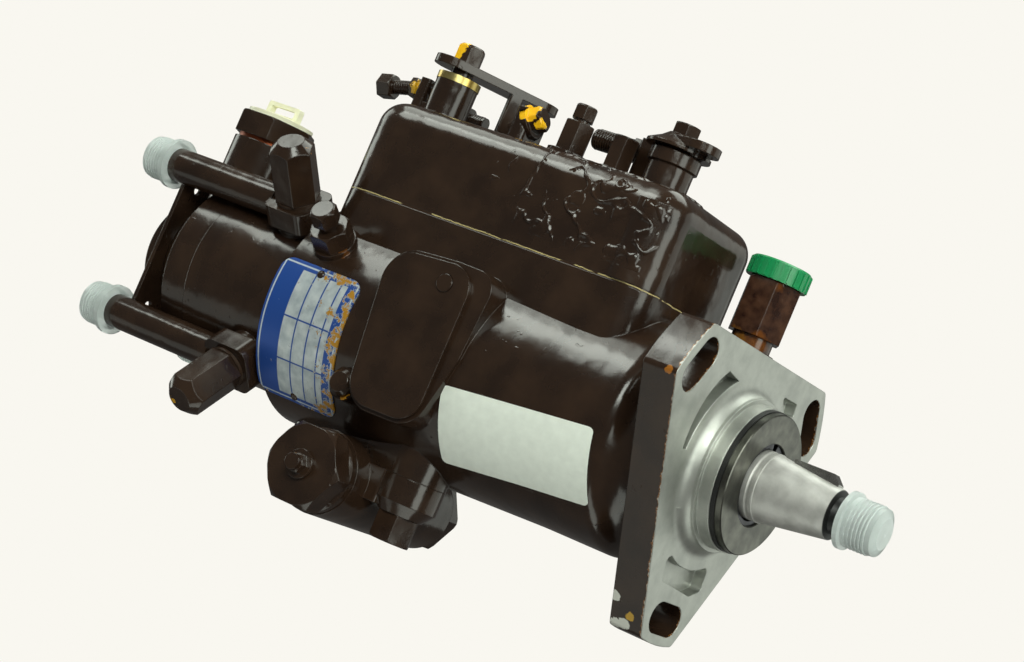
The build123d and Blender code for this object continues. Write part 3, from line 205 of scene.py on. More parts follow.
def wavy_skin(tree, place, shader, wave_mm, peel_mm=0.012, dust_mm=0.05):
    """Soft edges, waves of the thick film, orange peel and dust nibs."""
    soft_edge = add_node(tree, "ShaderNodeBevel", {"samples": 6, "Radius": EDGE_MM * MM})
    waves = noise(tree, place, WAVE_GRAIN, 1.5)
    fine = noise(tree, place, PEEL_GRAIN, 2.0)
    dust = mask(tree, (noise(tree, place, DUST_GRAIN, 0.0), "Fac"), 0.78, 0.86)
    skin = bump(tree, (waves, "Fac"), wave_mm)
    tree.links.new(soft_edge.outputs[0], skin.inputs["Normal"])
    for layer in (bump(tree, (fine, "Fac"), peel_mm), bump(tree, (dust, 0), dust_mm)):
        tree.links.new(skin.outputs[0], layer.inputs["Normal"])
        skin = layer
    tree.links.new(skin.outputs[0], shader.inputs["Normal"])


def paint_finish(name, wave_mm=0.30, dabs=(), tone=(), soft_mm=0.2):
    """Brown-black enamel with dabs of another paint or of rust."""
    material, tree, shader, place = new_material(name)
    colour = dabbed(tree, place, enamel_tone(tree, place, *tone), dabs, soft_mm)
    tree.links.new(colour[0].outputs[colour[1]], shader.inputs["Base Color"])
    shader.inputs["Roughness"].default_value = PAINT_ROUGHNESS
    wavy_skin(tree, place, shader, wave_mm)
    return material


plain_paint = paint_finish("brown-black enamel")
cover_paint = paint_finish("brown-black enamel, brushed thick", wave_mm=0.5)
print(plain_paint.name, "and", cover_paint.name)

# %% [markdown]
# The housing is one casting in two finishes: enamel all over, and a bare machined face
# towards the engine. Two materials, split by faces, would meet in a ruled line. A mask on
# X splits one material instead, with noise to chip the paint at the edge; the chips show
# a brown primer before they show metal.

# %% Housing: enamel and machined aluminium
HOUSING_DABS = [
    (-146, -36, 20, 3.4, "#5A3515"),
    (-120, -39, -25, 2.6, "#B0781C"),
    (-11, -16, -49, 1.8, "#CFCFC6"),
    (-10, -11.5, -57, 2.2, "#CFCFC6"),
    (-7, -12, -56, 2.2, "#CFCFC6"),
    (-5, -13, -53, 1.6, "#B8902A"),
    (-3, -54.9, 19.5, 1.4, "#9A5F20"),
]
PRIMER = "#85531F"
# the paint's edge behind the machined face, as X in metres: how far noise moves it, where
# that starts, and where primer, metal and the clean face fade in
CHIP_REACH = 0.0040
CHIP_START = -0.0022
PRIMER_EDGE = (-0.0008, -0.0006)
METAL_EDGE = (-0.0005, -0.0003)
FACE_EDGE = (-0.0003, -0.0001)
POCKET_REACH = 0.0435  # metres from the axis to the outside of the pockets
POCKET_FLOOR = -0.00445
FLANGE_SIDE = 0.03765  # metres from the axis to the flange's straight sides
FLANGE_SLANT = math.radians(30)  # how far the two lower sides face down


def inside(tree, source, limit, soft):
    """1 where a (node, socket) is below the limit, soft by a distance to both sides."""
    return mask(tree, source, limit + soft, limit - soft)


def housing_finish():
    material, tree, shader, place = new_material("enamelled casting with a machined face")
    at = axis_values(tree, place)
    colour = dabbed(tree, place, enamel_tone(tree, place), HOUSING_DABS)
    ragged = noise(tree, place, 2.0, 5.0, 0.7)
    ragged_x = maths(tree, "MULTIPLY_ADD", (ragged, "Fac"), CHIP_REACH)
    ragged_x.inputs[2].default_value = CHIP_START
    edge = maths(tree, "ADD", (at, "X"), (ragged_x, 0))
    primer = mask(tree, (edge, 0), *PRIMER_EDGE)
    bare = mask(tree, (edge, 0), *METAL_EDGE)
    face = mask(tree, (at, "X"), *FACE_EDGE)
    # the cast pockets stay bare to their floor; they lie inside the circle of slots and
    # inside the flange's three sides, which are painted
    flat = add_node(
        tree,
        "ShaderNodeCombineXYZ",
        links={"Y": (at, "Y"), "Z": (at, "Z")},
    )
    out = add_node(tree, "ShaderNodeVectorMath", {"operation": "LENGTH"}, {0: (flat, 0)})
    inner = inside(tree, (out, "Value"), POCKET_REACH, 0.0002)
    deep = mask(tree, (at, "X"), POCKET_FLOOR - 0.00015, POCKET_FLOOR + 0.00015)
    pocket = maths(tree, "MULTIPLY", (inner, 0), (deep, 0))
    off_centre = maths(tree, "ABSOLUTE", (at, "Y"))
    across = maths(tree, "MULTIPLY", (off_centre, 0), math.cos(FLANGE_SLANT))
    down = maths(tree, "MULTIPLY", (at, "Z"), -math.sin(FLANGE_SLANT))
    slant = maths(tree, "ADD", (across, 0), (down, 0))
    side = maths(tree, "MAXIMUM", (slant, 0), (at, "Z"))
    within = inside(tree, (side, 0), FLANGE_SIDE, 0.00015)
    pocket = maths(tree, "MULTIPLY", (pocket, 0), (within, 0))
    bare = maths(tree, "MAXIMUM", (bare, 0), (face, 0))
    bare = maths(tree, "MAXIMUM", (bare, 0), (pocket, 0))
    colour = (blend_colour(tree, (primer, 0), colour, PRIMER), 2)
    brushed = noise(tree, place, 9.0, 6.0, 0.6)
    metal = ramp(
        tree, (brushed, "Fac"), [(0.30, "#ACAEA9"), (0.55, "#BDBFB9"), (0.80, "#CACCC6")]
    )
    colour = blend_colour(tree, (bare, 0), colour, (metal, "Color"))
    tree.links.new(colour.outputs[2], shader.inputs["Base Color"])
    tree.links.new(bare.outputs[0], shader.inputs["Metallic"])
    rough = maths(tree, "MULTIPLY_ADD", (bare, 0), 0.32)
    rough.inputs[2].default_value = PAINT_ROUGHNESS
    tree.links.new(rough.outputs[0], shader.inputs["Roughness"])
    wavy_skin(tree, place, shader, 0.24)
    return material


housing_paint = housing_finish()
print(housing_paint.name)

# %% [markdown]
# Steel, brass and copper differ in colour and in how they were cut. Turned and ground
# faces are bright with fine rings around the axis; oiled or blued ones are darker, and the shaft
# turns dark grey from its threaded neck on.
# Noise that changes fast along the pump and slowly across it draws the rings without a
# UV map. Real tool marks lie about a tenth of a millimetre apart, too fine to show here,
# so they are drawn several times as coarse.

# %% Metals


def metal_finish(name, light, dark, roughness, grain_mm=0.6, dark_from=None, metallic=1.0):
    """Metal; dark_from is an X in mm beyond which it is flat dark grey."""
    material, tree, shader, place = new_material(name)
    cloud = noise(tree, place, 5.0, 4.0)
    tone = ramp(tree, (cloud, "Fac"), [(0.35, dark), (0.65, light)])
    colour = (tone, "Color")
    if dark_from:
        at = axis_values(tree, place)
        # from dark_from on, the colour is simply a flat dark grey
        dark_end_mask = mask(tree, (at, "X"), dark_from * MM, (dark_from + 0.2) * MM)
        colour = (blend_colour(tree, (dark_end_mask, 0), colour, "#2A2A2A"), 2)
    tree.links.new(colour[0].outputs[colour[1]], shader.inputs["Base Color"])
    shader.inputs["Metallic"].default_value = metallic
    shader.inputs["Roughness"].default_value = roughness
    rings = add_node(
        tree, "ShaderNodeMapping", {"Scale": (1.0, 0.05, 0.05)}, {"Vector": (place, "Object")}
    )
    fine = add_node(
        tree,
        "ShaderNodeTexNoise",
        {"Scale": 1.0 / (grain_mm * MM), "Detail": 2.0},
        {"Vector": (rings, "Vector")},
    )
    skin = bump(tree, (fine, "Fac"), 0.004)
    tree.links.new(skin.outputs[0], shader.inputs["Normal"])
    return material


ground_steel = metal_finish("ground steel", "#C4C3BF", "#A3A29E", 0.24)
# The shaft is only half metallic: its pale diffuse half is a painted reflection of the white
# surroundings that polished steel would mirror.
shaft_steel = metal_finish(
    "turned shaft steel", "#CECDC9", "#B4B3AF", 0.45, 0.35, dark_from=39.4, metallic=0.5
)
oiled_steel = metal_finish("oiled turned steel", "#77776F", "#5A5A55", 0.30)
spring_steel = metal_finish("blued spring steel", "#55555A", "#3A3A3E", 0.30)
soft_brass = metal_finish("turned brass", "#DCCB86", "#B79A50", 0.28)


def washer_finish():
    """Copper at the inlet; the washers of the outlets went through the paint."""
    material, tree, shader, place = new_material("annealed copper, partly enamelled")
    at = axis_values(tree, place)
    painted = mask(tree, (at, "X"), -0.205, -0.204)
    cloud = noise(tree, place, 4.0, 3.0)
    copper = ramp(tree, (cloud, "Fac"), [(0.35, "#6E3A26"), (0.65, "#8E4C30")])
    colour = blend_colour(tree, (painted, 0), (copper, "Color"), PAINT)
    tree.links.new(colour.outputs[2], shader.inputs["Base Color"])
    metallic = maths(tree, "SUBTRACT", 1.0, (painted, 0))
    tree.links.new(metallic.outputs[0], shader.inputs["Metallic"])
    shader.inputs["Roughness"].default_value = 0.38
    return material


washers = washer_finish()
print("metals ready")

# %% [markdown]
# The plastics are caps and plugs that keep dirt out of the ports. Polythene is milky: it
# lets light in and blurs what is behind it, so transmission is mixed with light that
# scatters inside. The green cap is harder and hardly lets light in. The fibre gasket
# shows only as a thin broken line, because paint bridged most of its edge; a mask gives
# that line without cutting the solid.

# %% Plastics, rubber and fibre
GASKET_Z = 0.0422  # metres, as are the next two
GASKET_STRAY = 0.0009  # how far the paint's edge wanders over the gasket
GASKET_LINE = (0.00013, 0.00021)  # half the height of what still shows, and its soft edge


def plain_finish(name, colour, roughness, subsurface=0.0, transmission=0.0):
    material, tree, shader, place = new_material(name)
    cloud = noise(tree, place, 3.0, 2.0)
    lighter = [min(1.0, c * 1.08) for c in linear(colour)[:3]] + [1.0]
    tone = ramp(tree, (cloud, "Fac"), [(0.3, colour), (0.7, lighter)])
    tree.links.new(tone.outputs["Color"], shader.inputs["Base Color"])
    shader.inputs["Roughness"].default_value = roughness
    shader.inputs["Subsurface Weight"].default_value = subsurface
    shader.inputs["Subsurface Radius"].default_value = (0.003, 0.003, 0.003)
    shader.inputs["Transmission Weight"].default_value = transmission
    return material


def gasket_finish():
    material, tree, shader, place = new_material("fibre gasket under broken paint")
    at = axis_values(tree, place)
    ragged = noise(tree, place, 5.0, 4.0, 0.65)
    shift = maths(tree, "MULTIPLY_ADD", (ragged, "Fac"), GASKET_STRAY)
    shift.inputs[2].default_value = -GASKET_Z
    off = maths(tree, "ABSOLUTE", (maths(tree, "ADD", (at, "Z"), (shift, 0)), 0))
    painted = mask(tree, (off, 0), *GASKET_LINE)
    bridges = mask(tree, (noise(tree, place, 11.0, 4.0, 0.6), "Fac"), 0.52, 0.55)
    painted = maths(tree, "MAXIMUM", (painted, 0), (bridges, 0))
    colour = blend_colour(tree, (painted, 0), "#B9A873", PAINT)
    tree.links.new(colour.outputs[2], shader.inputs["Base Color"])
    rough = maths(tree, "MULTIPLY_ADD", (painted, 0), -0.60)
    rough.inputs[2].default_value = 0.75
    tree.links.new(rough.outputs[0], shader.inputs["Roughness"])
    return material


clear_cap = plain_finish("milky polythene", "#E4ECEA", 0.30, 0.25, 0.55)
cream_plug = plain_finish("cream polythene", "#EDEBD0", 0.35, 0.4)
green_cap = plain_finish("green moulded plastic", "#148A50", 0.28, 0.05)
black_rubber = plain_finish("black nitrile rubber", "#151515", 0.45)
fibre = gasket_finish()
paper = plain_finish("pale label paper", "#EFF5EB", 0.50)
connector_paint = paint_finish(
    "thin brown enamel over steel",
    dabs=[(-14, 13, 42, 5.0, RUST), (-22, 12, 42, 4.0, "#7A4E1A"), (-13, 12, 62, 2.5, RUST)],
    tone=("#2A1710", "#4B3123", 4.0),
    soft_mm=1.5,
)
print("plastics ready")

# %% [markdown]
# The nameplate is thin aluminium, printed blue around pale fields and worn by handling.
# Its layout is generic: a border, blank fields and thin rules, with no lettering. An
# image could carry the print, but bands measured in mm stay sharp from any distance.
# They run along the pump, and around the drum (radius times the angle from the near
# side). The print is worn most at its rim and towards the flange.

# %% Nameplate
PLATE_CENTRE = (-146.3, -19.0)
PLATE_HALF = (17.2, 25.0)
PLATE_RADIUS = 40.9
PLATE_BLUE = "#2850A0"
PLATE_BARE = "#AEB6B8"
PLATE_PRIMER = "#C08A2A"
# sizes of the print in mm, from the plate's centre
PLATE_BLOCKS = [(-12.0, 4.4), (14.6, 2.2)]  # centre and half width of each blue field
PLATE_RULES = (-1.6, 4.2, 9.6)  # thin rules around the drum
PLATE_RULES_ALONG = (-9.0, 6.0)
PLATE_BORDER = 2.6
BORDER_LINE = 1.1  # how far in from the edge the pale line of the border runs


def band(tree, source, centre, half, soft=0.15):
    """1 within half a width of the centre, in mm, for a (node, socket) in mm."""
    off = maths(tree, "ABSOLUTE", (maths(tree, "SUBTRACT", source, centre), 0))
    return (mask(tree, (off, 0), half + soft, half), 0)


def nameplate_finish():
    material, tree, shader, place = new_material("printed aluminium nameplate, worn")
    at = axis_values(tree, place)
    along = maths(tree, "MULTIPLY_ADD", (at, "X"), 1.0 / MM)
    along.inputs[2].default_value = -PLATE_CENTRE[0]
    near = maths(tree, "MULTIPLY", (at, "Y"), -1.0)
    turn = maths(tree, "ARCTAN2", (at, "Z"), (near, 0))
    around = maths(tree, "MULTIPLY_ADD", (turn, 0), PLATE_RADIUS)
    around.inputs[2].default_value = -math.radians(PLATE_CENTRE[1]) * PLATE_RADIUS
    u = (along, 0)
    v = (around, 0)
    to_side = maths(tree, "SUBTRACT", PLATE_HALF[0], (maths(tree, "ABSOLUTE", u), 0))
    to_end = maths(tree, "SUBTRACT", PLATE_HALF[1], (maths(tree, "ABSOLUTE", v), 0))
    to_edge = (maths(tree, "MINIMUM", (to_side, 0), (to_end, 0)), 0)
    stain = noise(tree, place, 4.0, 4.0)
    silver = ramp(tree, (stain, "Fac"), [(0.3, "#A9B4BA"), (0.6, "#CBD3D5"), (0.8, "#DDE2E2")])
    colour = (silver, "Color")
    blue_areas = [band(tree, u, centre, half) for centre, half in PLATE_BLOCKS]
    blue_areas.append(band(tree, to_edge, 0.0, PLATE_BORDER))
    for rule_u in PLATE_RULES:
        blue_areas.append(band(tree, u, rule_u, 0.22))
    for rule_v in PLATE_RULES_ALONG:
        rule = maths(tree, "MULTIPLY", band(tree, v, rule_v, 0.2), band(tree, u, 2.4, 10.0))
        blue_areas.append((rule, 0))
    for area in blue_areas:
        colour = (blend_colour(tree, area, colour, PLATE_BLUE), 2)
    colour = (blend_colour(tree, band(tree, to_edge, BORDER_LINE, 0.22), colour, "#C9D3DC"), 2)
    wear_noise = noise(tree, place, 3.2, 5.0, 0.7)
    lean = maths(tree, "MULTIPLY", u, 0.007)
    rim = maths(tree, "MULTIPLY", (mask(tree, to_edge, 4.5, 0.5), 0), 0.075)
    wear = maths(tree, "ADD", (lean, 0), (rim, 0))
    wear_level = maths(tree, "ADD", (wear_noise, "Fac"), (wear, 0))
    bare = mask(tree, (wear_level, 0), 0.62, 0.64)
    primer = mask(tree, (wear_level, 0), 0.66, 0.68)
    colour = (blend_colour(tree, (bare, 0), colour, PLATE_BARE), 2)
    colour = (blend_colour(tree, (primer, 0), colour, PLATE_PRIMER), 2)
    tree.links.new(colour[0].outputs[colour[1]], shader.inputs["Base Color"])
    shader.inputs["Metallic"].default_value = 0.25
    shader.inputs["Roughness"].default_value = 0.32
    skin = bump(tree, (stain, "Fac"), 0.05)
    tree.links.new(skin.outputs[0], shader.inputs["Normal"])
    return material


nameplate_print = nameplate_finish()
print(nameplate_print.name)

# %% [markdown]
# Every solid now takes its finish. A table keeps this readable: the exceptions are
# listed, and whatever is left over is covered by the enamel.

# %% Give each solid its finish
finishes = {
    "pump_housing": housing_paint,
    "governor_cover": cover_paint,
    "cover_gasket": fibre,
    "sealing_washers": washers,
    "inlet_plug": cream_plug,
    "outlet_caps": clear_cap,
    "shaft_cap": clear_cap,
    "pilot_disc": oiled_steel,
    "shaft_seals": black_rubber,
    "shaft_circlip": spring_steel,
    "back_leak_cap": green_cap,
    "back_leak_connector": connector_paint,
    "throttle_seal_ring": soft_brass,
    "throttle_nut": paint_finish(
        "throttle nut enamel with yellow seal",
        dabs=[(-159, -3, 103, 5.5, YELLOW)],
    ),
    "stop_nut": paint_finish(
        "stop nut enamel with yellow seal",
        dabs=[(-121, -4, 90, 5.5, YELLOW), (-113, -3, 86, 3.2, YELLOW)],
    ),
    "banjo_bolts": paint_finish(
        "outlet bolt enamel with yellow seal",
        dabs=[(-179, -43, -45, 4.5, "#D8A020"), (-170, -44, 46, 2.0, "#B0781C")],
    ),
    "advance_adjuster": paint_finish(
        "adjuster enamel with seal", dabs=[(-122, -45, -50, 2.4, "#7E5420")]
    ),
    "stop_screws": paint_finish(
        "stop screw enamel with seal", dabs=[(-171, 0, 86, 2.6, "#D0A024")]
    ),
    "nameplate": nameplate_print,
    "drive_shaft": shaft_steel,
}
steel_nodes = (
    "shaft_key weight_retainer distributor_rotor transfer_pump_rotor "
    "thrust_sleeve governor_arm linkage_rod metering_valve cam_ring advance_piston "
    "pumping_plunger_1 pumping_plunger_2 regulating_piston transfer_pump_liner "
    "control_bracket governor_weight_1 governor_weight_2 governor_weight_3 "
    "governor_weight_4"
).split()
finishes.update({name: ground_steel for name in steel_nodes})
for name, node in nodes.items():
    node.data.materials.clear()
    node.data.materials.append(finishes.get(name, plain_paint))
print("finished solids:", len(nodes))

# %% [markdown]
# Ribs and threads repeat, so two node trees grow them: one puts bars in a ring, the
# other winds a helix. Loops over vertices would do as well, but a tree keeps its numbers
# as named inputs that can be tried by hand. Each tree realizes what it made, since an
# instance is lost in an export, and gives it a material.

# %% Start and end of a node tree


def new_tree(name, inputs):
    """A geometry tree with float, integer or material inputs, and its two end nodes."""
    tree = bpy.data.node_groups.new(name, "GeometryNodeTree")
    for label, kind in inputs:
        tree.interface.new_socket(label, in_out="INPUT", socket_type=kind)
    tree.interface.new_socket("Geometry", in_out="OUTPUT", socket_type="NodeSocketGeometry")
    return tree, tree.nodes.new("NodeGroupInput"), tree.nodes.new("NodeGroupOutput")


def finish_tree(tree, source, given, end):
    """Ends a tree with Realize Instances and Set Material."""
    real = add_node(tree, "GeometryNodeRealizeInstances", links={0: source})
    coated = add_node(
        tree,
        "GeometryNodeSetMaterial",
        links={"Geometry": (real, 0), "Material": (given, "Material")},
    )
    tree.links.new(coated.outputs[0], end.inputs[0])


print("tree helpers ready")

# %% [markdown]
# The grips of a moulded cap are straight bars around its side. The first tree stands a
# bar at each point of a circle and turns it to face outwards, so one number sets how
# many there are.

# %% Tree of ribs
FLOAT = "NodeSocketFloat"
rib_tree, given, end = new_tree(
    "ribs in a ring",
    [
        ("Count", "NodeSocketInt"),
        ("Radius", FLOAT),
        ("Width", FLOAT),
        ("Depth", FLOAT),
        ("Length", FLOAT),
        ("Material", "NodeSocketMaterial"),
    ],
)
ring = add_node(
    rib_tree,
    "GeometryNodeMeshCircle",
    links={"Vertices": (given, "Count"), "Radius": (given, "Radius")},
)
size = add_node(
    rib_tree,
    "ShaderNodeCombineXYZ",
    links={0: (given, "Depth"), 1: (given, "Width"), 2: (given, "Length")},
)
rib = add_node(rib_tree, "GeometryNodeMeshCube", links={"Size": (size, 0)})
where = add_node(rib_tree, "GeometryNodeInputPosition")
aim = add_node(
    rib_tree, "FunctionNodeAlignRotationToVector", {"axis": "X"}, {"Vector": (where, 0)}
)
spread = add_node(
    rib_tree,
    "GeometryNodeInstanceOnPoints",
    links={"Points": (ring, 0), "Instance": (rib, 0), "Rotation": (aim, 0)},
)
finish_tree(rib_tree, (spread, 0), given, end)
print(rib_tree.name)

# %% [markdown]
# A thread is a ridge that winds along a screw. Its true profile could be cut into the
# solid, at the price of many faces that nobody sees. The second tree sweeps a small
# circle along a spiral that keeps its radius, which looks the same at this size.

# %% Tree of a thread
thread_tree, given, end = new_tree(
    "helix",
    [
        ("Turns", FLOAT),
        ("Radius", FLOAT),
        ("Height", FLOAT),
        ("Wire", FLOAT),
        ("Material", "NodeSocketMaterial"),
    ],
)
helix = add_node(
    thread_tree,
    "GeometryNodeCurveSpiral",
    {"Resolution": 20},
    {
        "Rotations": (given, "Turns"),
        "Start Radius": (given, "Radius"),
        "End Radius": (given, "Radius"),
        "Height": (given, "Height"),
    },
)
wire = add_node(
    thread_tree,
    "GeometryNodeCurvePrimitiveCircle",
    {"Resolution": 6},
    {"Radius": (given, "Wire")},
)
swept = add_node(
    thread_tree,
    "GeometryNodeCurveToMesh",
    {"Fill Caps": True},
    {"Curve": (helix, 0), "Profile Curve": (wire, 0)},
)
finish_tree(thread_tree, (swept, 0), given, end)
print(thread_tree.name)

# %% [markdown]
# A modifier that is still live can be lost on the way out of Blender, so what a tree
# grows becomes a plain mesh. It is put in its place, joined with its like and handed to
# the body that it rides on.

# %% From a tree to a piece


def grown(tree, values):
    """The mesh that a tree makes from named values."""
    holder = bpy.data.objects.new("holder", bpy.data.meshes.new("holder"))
    bpy.context.scene.collection.objects.link(holder)
    modifier = holder.modifiers.new("grow", "NODES")
    modifier.node_group = tree
    for item in tree.interface.items_tree:
        if item.in_out == "INPUT":
            modifier[item.identifier] = values[item.name]
    bpy.context.view_layer.update()
    graph = bpy.context.evaluated_depsgraph_get()
    mesh = bpy.data.meshes.new_from_object(holder.evaluated_get(graph), depsgraph=graph)
    bpy.data.objects.remove(holder)
    return mesh


def pointing(origin_mm, direction):
    """Matrix that puts local Z along a direction at a place in mm."""
    turn = Vector(direction).to_track_quat("Z", "Y").to_matrix().to_4x4()
    return Matrix.Translation(Vector(origin_mm) * MM) @ turn


def add_piece(name, placed, material, body):
    """Joins (mesh, matrix) pairs into one object that rides on a body."""
    joined = bmesh.new()
    for mesh, matrix in placed:
        copy = mesh.copy()
        copy.transform(matrix)
        joined.from_mesh(copy)
        bpy.data.meshes.remove(copy)
    bmesh.ops.recalc_face_normals(joined, faces=joined.faces)
    mesh = bpy.data.meshes.new(name)
    joined.to_mesh(mesh)
    joined.free()
    mesh.materials.clear()
    mesh.materials.append(material)
    piece = bpy.data.objects.new(name, mesh)
    bpy.context.scene.collection.objects.link(piece)
    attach(piece, body)
    return piece


def ribs(count, radius, width, depth, length, material):
    return grown(
        rib_tree,
        {
            "Count": count,
            "Radius": radius * MM,
            "Width": width * MM,
            "Depth": depth * MM,
            "Length": length * MM,
            "Material": material,
        },
    )


def helix_mesh(turns, radius, height, wire_radius, material):
    return grown(
        thread_tree,
        {
            "Turns": turns,
            "Radius": radius * MM,
            "Height": height * MM,
            "Wire": wire_radius * MM,
            "Material": material,
        },
    )


print("piece helpers ready")

# %% [markdown]
# The milky caps have moulded rings, and the green cap has low ribs for the fingers. The
# CAD keeps all of them plain. The rings are laid on as one fine helix for each cap,
# because it can't be told from closed rings at this size.

# %% Rings and ribs of the caps
ALONG = (1, 0, 0)
UP = (0, 0, 1)
OUTLET_CAP_END = -243.4  # X of the outer end of the outlet caps' rings, mm
OUTLET_OFFSET = 28.284  # of an outlet from the axis in Y and in Z, mm
SHAFT_CAP_START = 46.2
BACK_LEAK_CAP = (-20, 20, 66.7)

outlet_rings = helix_mesh(5.5, 7.45, 6.6, 0.42, clear_cap)
outlet_places = [
    pointing((OUTLET_CAP_END, side_y * OUTLET_OFFSET, side_z * OUTLET_OFFSET), ALONG)
    for side_y in (-1, 1)
    for side_z in (-1, 1)
]
add_piece(
    "outlet_cap_rings",
    [(outlet_rings, place) for place in outlet_places],
    clear_cap,
    "pump_body",
)
add_piece(
    "shaft_cap_rings",
    [(helix_mesh(6.0, 7.75, 7.8, 0.42, clear_cap), pointing((SHAFT_CAP_START, 0, 0), ALONG))],
    clear_cap,
    "drive",
)
add_piece(
    "green_cap_ribs",
    [(ribs(24, 10.1, 0.7, 1.1, 5.6, green_cap), pointing(BACK_LEAK_CAP, UP))],
    green_cap,
    "pump_body",
)
print("caps ready")

# %% [markdown]
# Threads show on the three screws of the governor's cover and at the ends of the two
# lever spindles. A bump pattern would leave their outline smooth against the pale
# background, so they are real ridges. The idle screw leans eleven degrees.

# %% Threads that show
IDLE = (math.cos(math.radians(11)), 0, math.sin(math.radians(11)))
# turns, radius, height, wire radius, start and direction of each stop screw's thread, mm
STOP_SCREW_THREADS = [
    (6.5, 2.35, 6.6, 0.28, (-180.6, 1.5, 83.95), IDLE),
    (15.0, 3.35, 15.0, 0.42, (-98.5, 9.6, 89.5), ALONG),
    (6.0, 2.35, 6.0, 0.28, (-157.0, 18.0, 83.5), ALONG),
]
# body, slot and top of the thread of each lever's spindle, mm
SPINDLE_THREADS = [
    ("throttle", "throttle_lever", (-155.0, 0, 105.2)),
    ("shut_off", "shut_off_lever", (-61.5, 0, 101.2)),
]
add_piece(
    "screw_threads",
    [
        (helix_mesh(*sizes, plain_paint), pointing(start, direction))
        for *sizes, start, direction in STOP_SCREW_THREADS
    ],
    plain_paint,
    "pump_body",
)
for body, slot, top_of_thread in SPINDLE_THREADS:
    add_piece(
        f"{body}_spindle_thread",
        [(helix_mesh(4.0, 2.95, -3.2, 0.26, plain_paint), pointing(top_of_thread, UP))],
        plain_paint,
        body,
    )
print("threads ready")

# %% [markdown]
# A blank paper label is wrapped on the drum, whose radius shrinks a little towards the
# flange. A flat sheet could be shrink-wrapped on it, but the drum follows a simple rule,
# so each point of the sheet just takes the drum's radius at its own place.

# %% Paper label
DRUM = [(-112.0, 40.3), (-52.0, 38.6), (0.0, 38.6)]  # X and radius, mm
# X in mm and angle in degrees up from the near side, from the top left clockwise
LABEL_CORNERS = [(-85.4, -13.4), (-28.0, -6.2), (-25.3, -44.2), (-83.7, -53.9)]
LABEL_LIFT = 0.02


def drum_radius(x):
    for (x0, r0), (x1, r1) in zip(DRUM, DRUM[1:]):
        if x <= x1:
            return r0 + (r1 - r0) * max(0.0, x - x0) / (x1 - x0)
    return DRUM[-1][1]


def on_drum(x, angle, lift):
    turn = math.radians(angle)
    radius = drum_radius(x) + lift
    return Vector((x, -radius * math.cos(turn), radius * math.sin(turn))) * MM


def stops(length, corner, steps):
    """Places along a side, close together in its two corners."""
    close = [corner * k / 4 for k in range(5)]
    middle = [corner + (length - 2 * corner) * k / steps for k in range(1, steps)]
    return close + middle + [length - c for c in reversed(close)]


def rounded(a, b, length, width, corner):
    """Pulls a point of a rectangle's corner square in, so that the corner is round."""
    from_a = max(corner - a, a - (length - corner), 0.0)
    from_b = max(corner - b, b - (width - corner), 0.0)
    if from_a == 0 or from_b == 0:
        return a, b
    pull = max(from_a, from_b) / math.hypot(from_a, from_b)
    sign_a = -1 if a < length / 2 else 1
    sign_b = -1 if b < width / 2 else 1
    return a - sign_a * from_a * (1 - pull), b - sign_b * from_b * (1 - pull)


def label_mesh(corners, length=57.0, width=31.0, corner=2.0, thickness=0.12):
    """Thin patch between four (x, angle) corners, with rounded corners."""
    top_left, top_right, low_right, low_left = [Vector(c) for c in corners]
    across_stops = stops(length, corner, 14)
    down_stops = stops(width, corner, 14)
    rows = len(down_stops) - 1
    columns = len(across_stops) - 1
    patch = bmesh.new()
    layers = []
    for lift in (LABEL_LIFT, LABEL_LIFT + thickness):
        grid = []
        for i in range(rows + 1):
            line = []
            for j in range(columns + 1):
                a, b = rounded(across_stops[j], down_stops[i], length, width, corner)
                upper = top_left.lerp(top_right, a / length)
                lower = low_left.lerp(low_right, a / length)
                x, angle = upper.lerp(lower, b / width)
                line.append(patch.verts.new(on_drum(x, angle, lift)))
            grid.append(line)
        layers.append(grid)
    for i in range(rows):
        for j in range(columns):
            for grid in layers:
                patch.faces.new((grid[i][j], grid[i][j + 1], grid[i + 1][j + 1], grid[i + 1][j]))
    low, high = layers
    for i in range(rows):
        for j in (0, columns):
            patch.faces.new((low[i][j], low[i + 1][j], high[i + 1][j], high[i][j]))
    for j in range(columns):
        for i in (0, rows):
            patch.faces.new((low[i][j], low[i][j + 1], high[i][j + 1], high[i][j]))
    bmesh.ops.recalc_face_normals(patch, faces=patch.faces)
    mesh = bpy.data.meshes.new("label")
    patch.to_mesh(mesh)
    patch.free()
    for polygon in mesh.polygons:
        polygon.use_smooth = False
    return mesh


IDENTITY = Matrix.Identity(4)
label = label_mesh(LABEL_CORNERS)
add_piece("paper_label", [(label, IDENTITY)], paper, "pump_body")
print("faces in the label:", len(label.polygons))

# %% [markdown]
# Two low domed rivets hold the nameplate, painted over with the rest. A squashed sphere
# that is half sunk in the plate is all that so small a rivet needs.

# %% The nameplate's rivets
RIVETS = [(-146.6, 13.2), (-147.4, -50.6)]  # X in mm and angle in degrees


def rivet_mesh(radius=1.5, height=0.7):
    dome = bmesh.new()
    bmesh.ops.create_uvsphere(dome, u_segments=16, v_segments=8, radius=radius * MM)
    bmesh.ops.scale(dome, vec=(1.0, 1.0, height / radius), verts=dome.verts)
    mesh = bpy.data.meshes.new("rivet")
    dome.to_mesh(mesh)
    dome.free()
    for polygon in mesh.polygons:
        polygon.use_smooth = True
    return mesh


rivet = rivet_mesh()
placed_rivets = []
for x, angle in RIVETS:
    turn = math.radians(angle)
    outward = (0, -math.cos(turn), math.sin(turn))
    centre = [x, PLATE_RADIUS * outward[1], PLATE_RADIUS * outward[2]]
    placed_rivets.append((rivet, pointing(centre, outward)))
add_piece("plate_rivets", placed_rivets, plain_paint, "pump_body")
print("rivets:", len(placed_rivets))

# %% [markdown]
# The enamel ran and wrinkled on the cover before it dried. Bump alone would leave the
# cover's outline smooth, and the cover's own points are too few to carry wrinkles, so the
# runs are a mesh of their own. Rays find the cover's skin, a ridge in the noise gives
# each point its height, and only what stands above the skin is kept, closed just below.

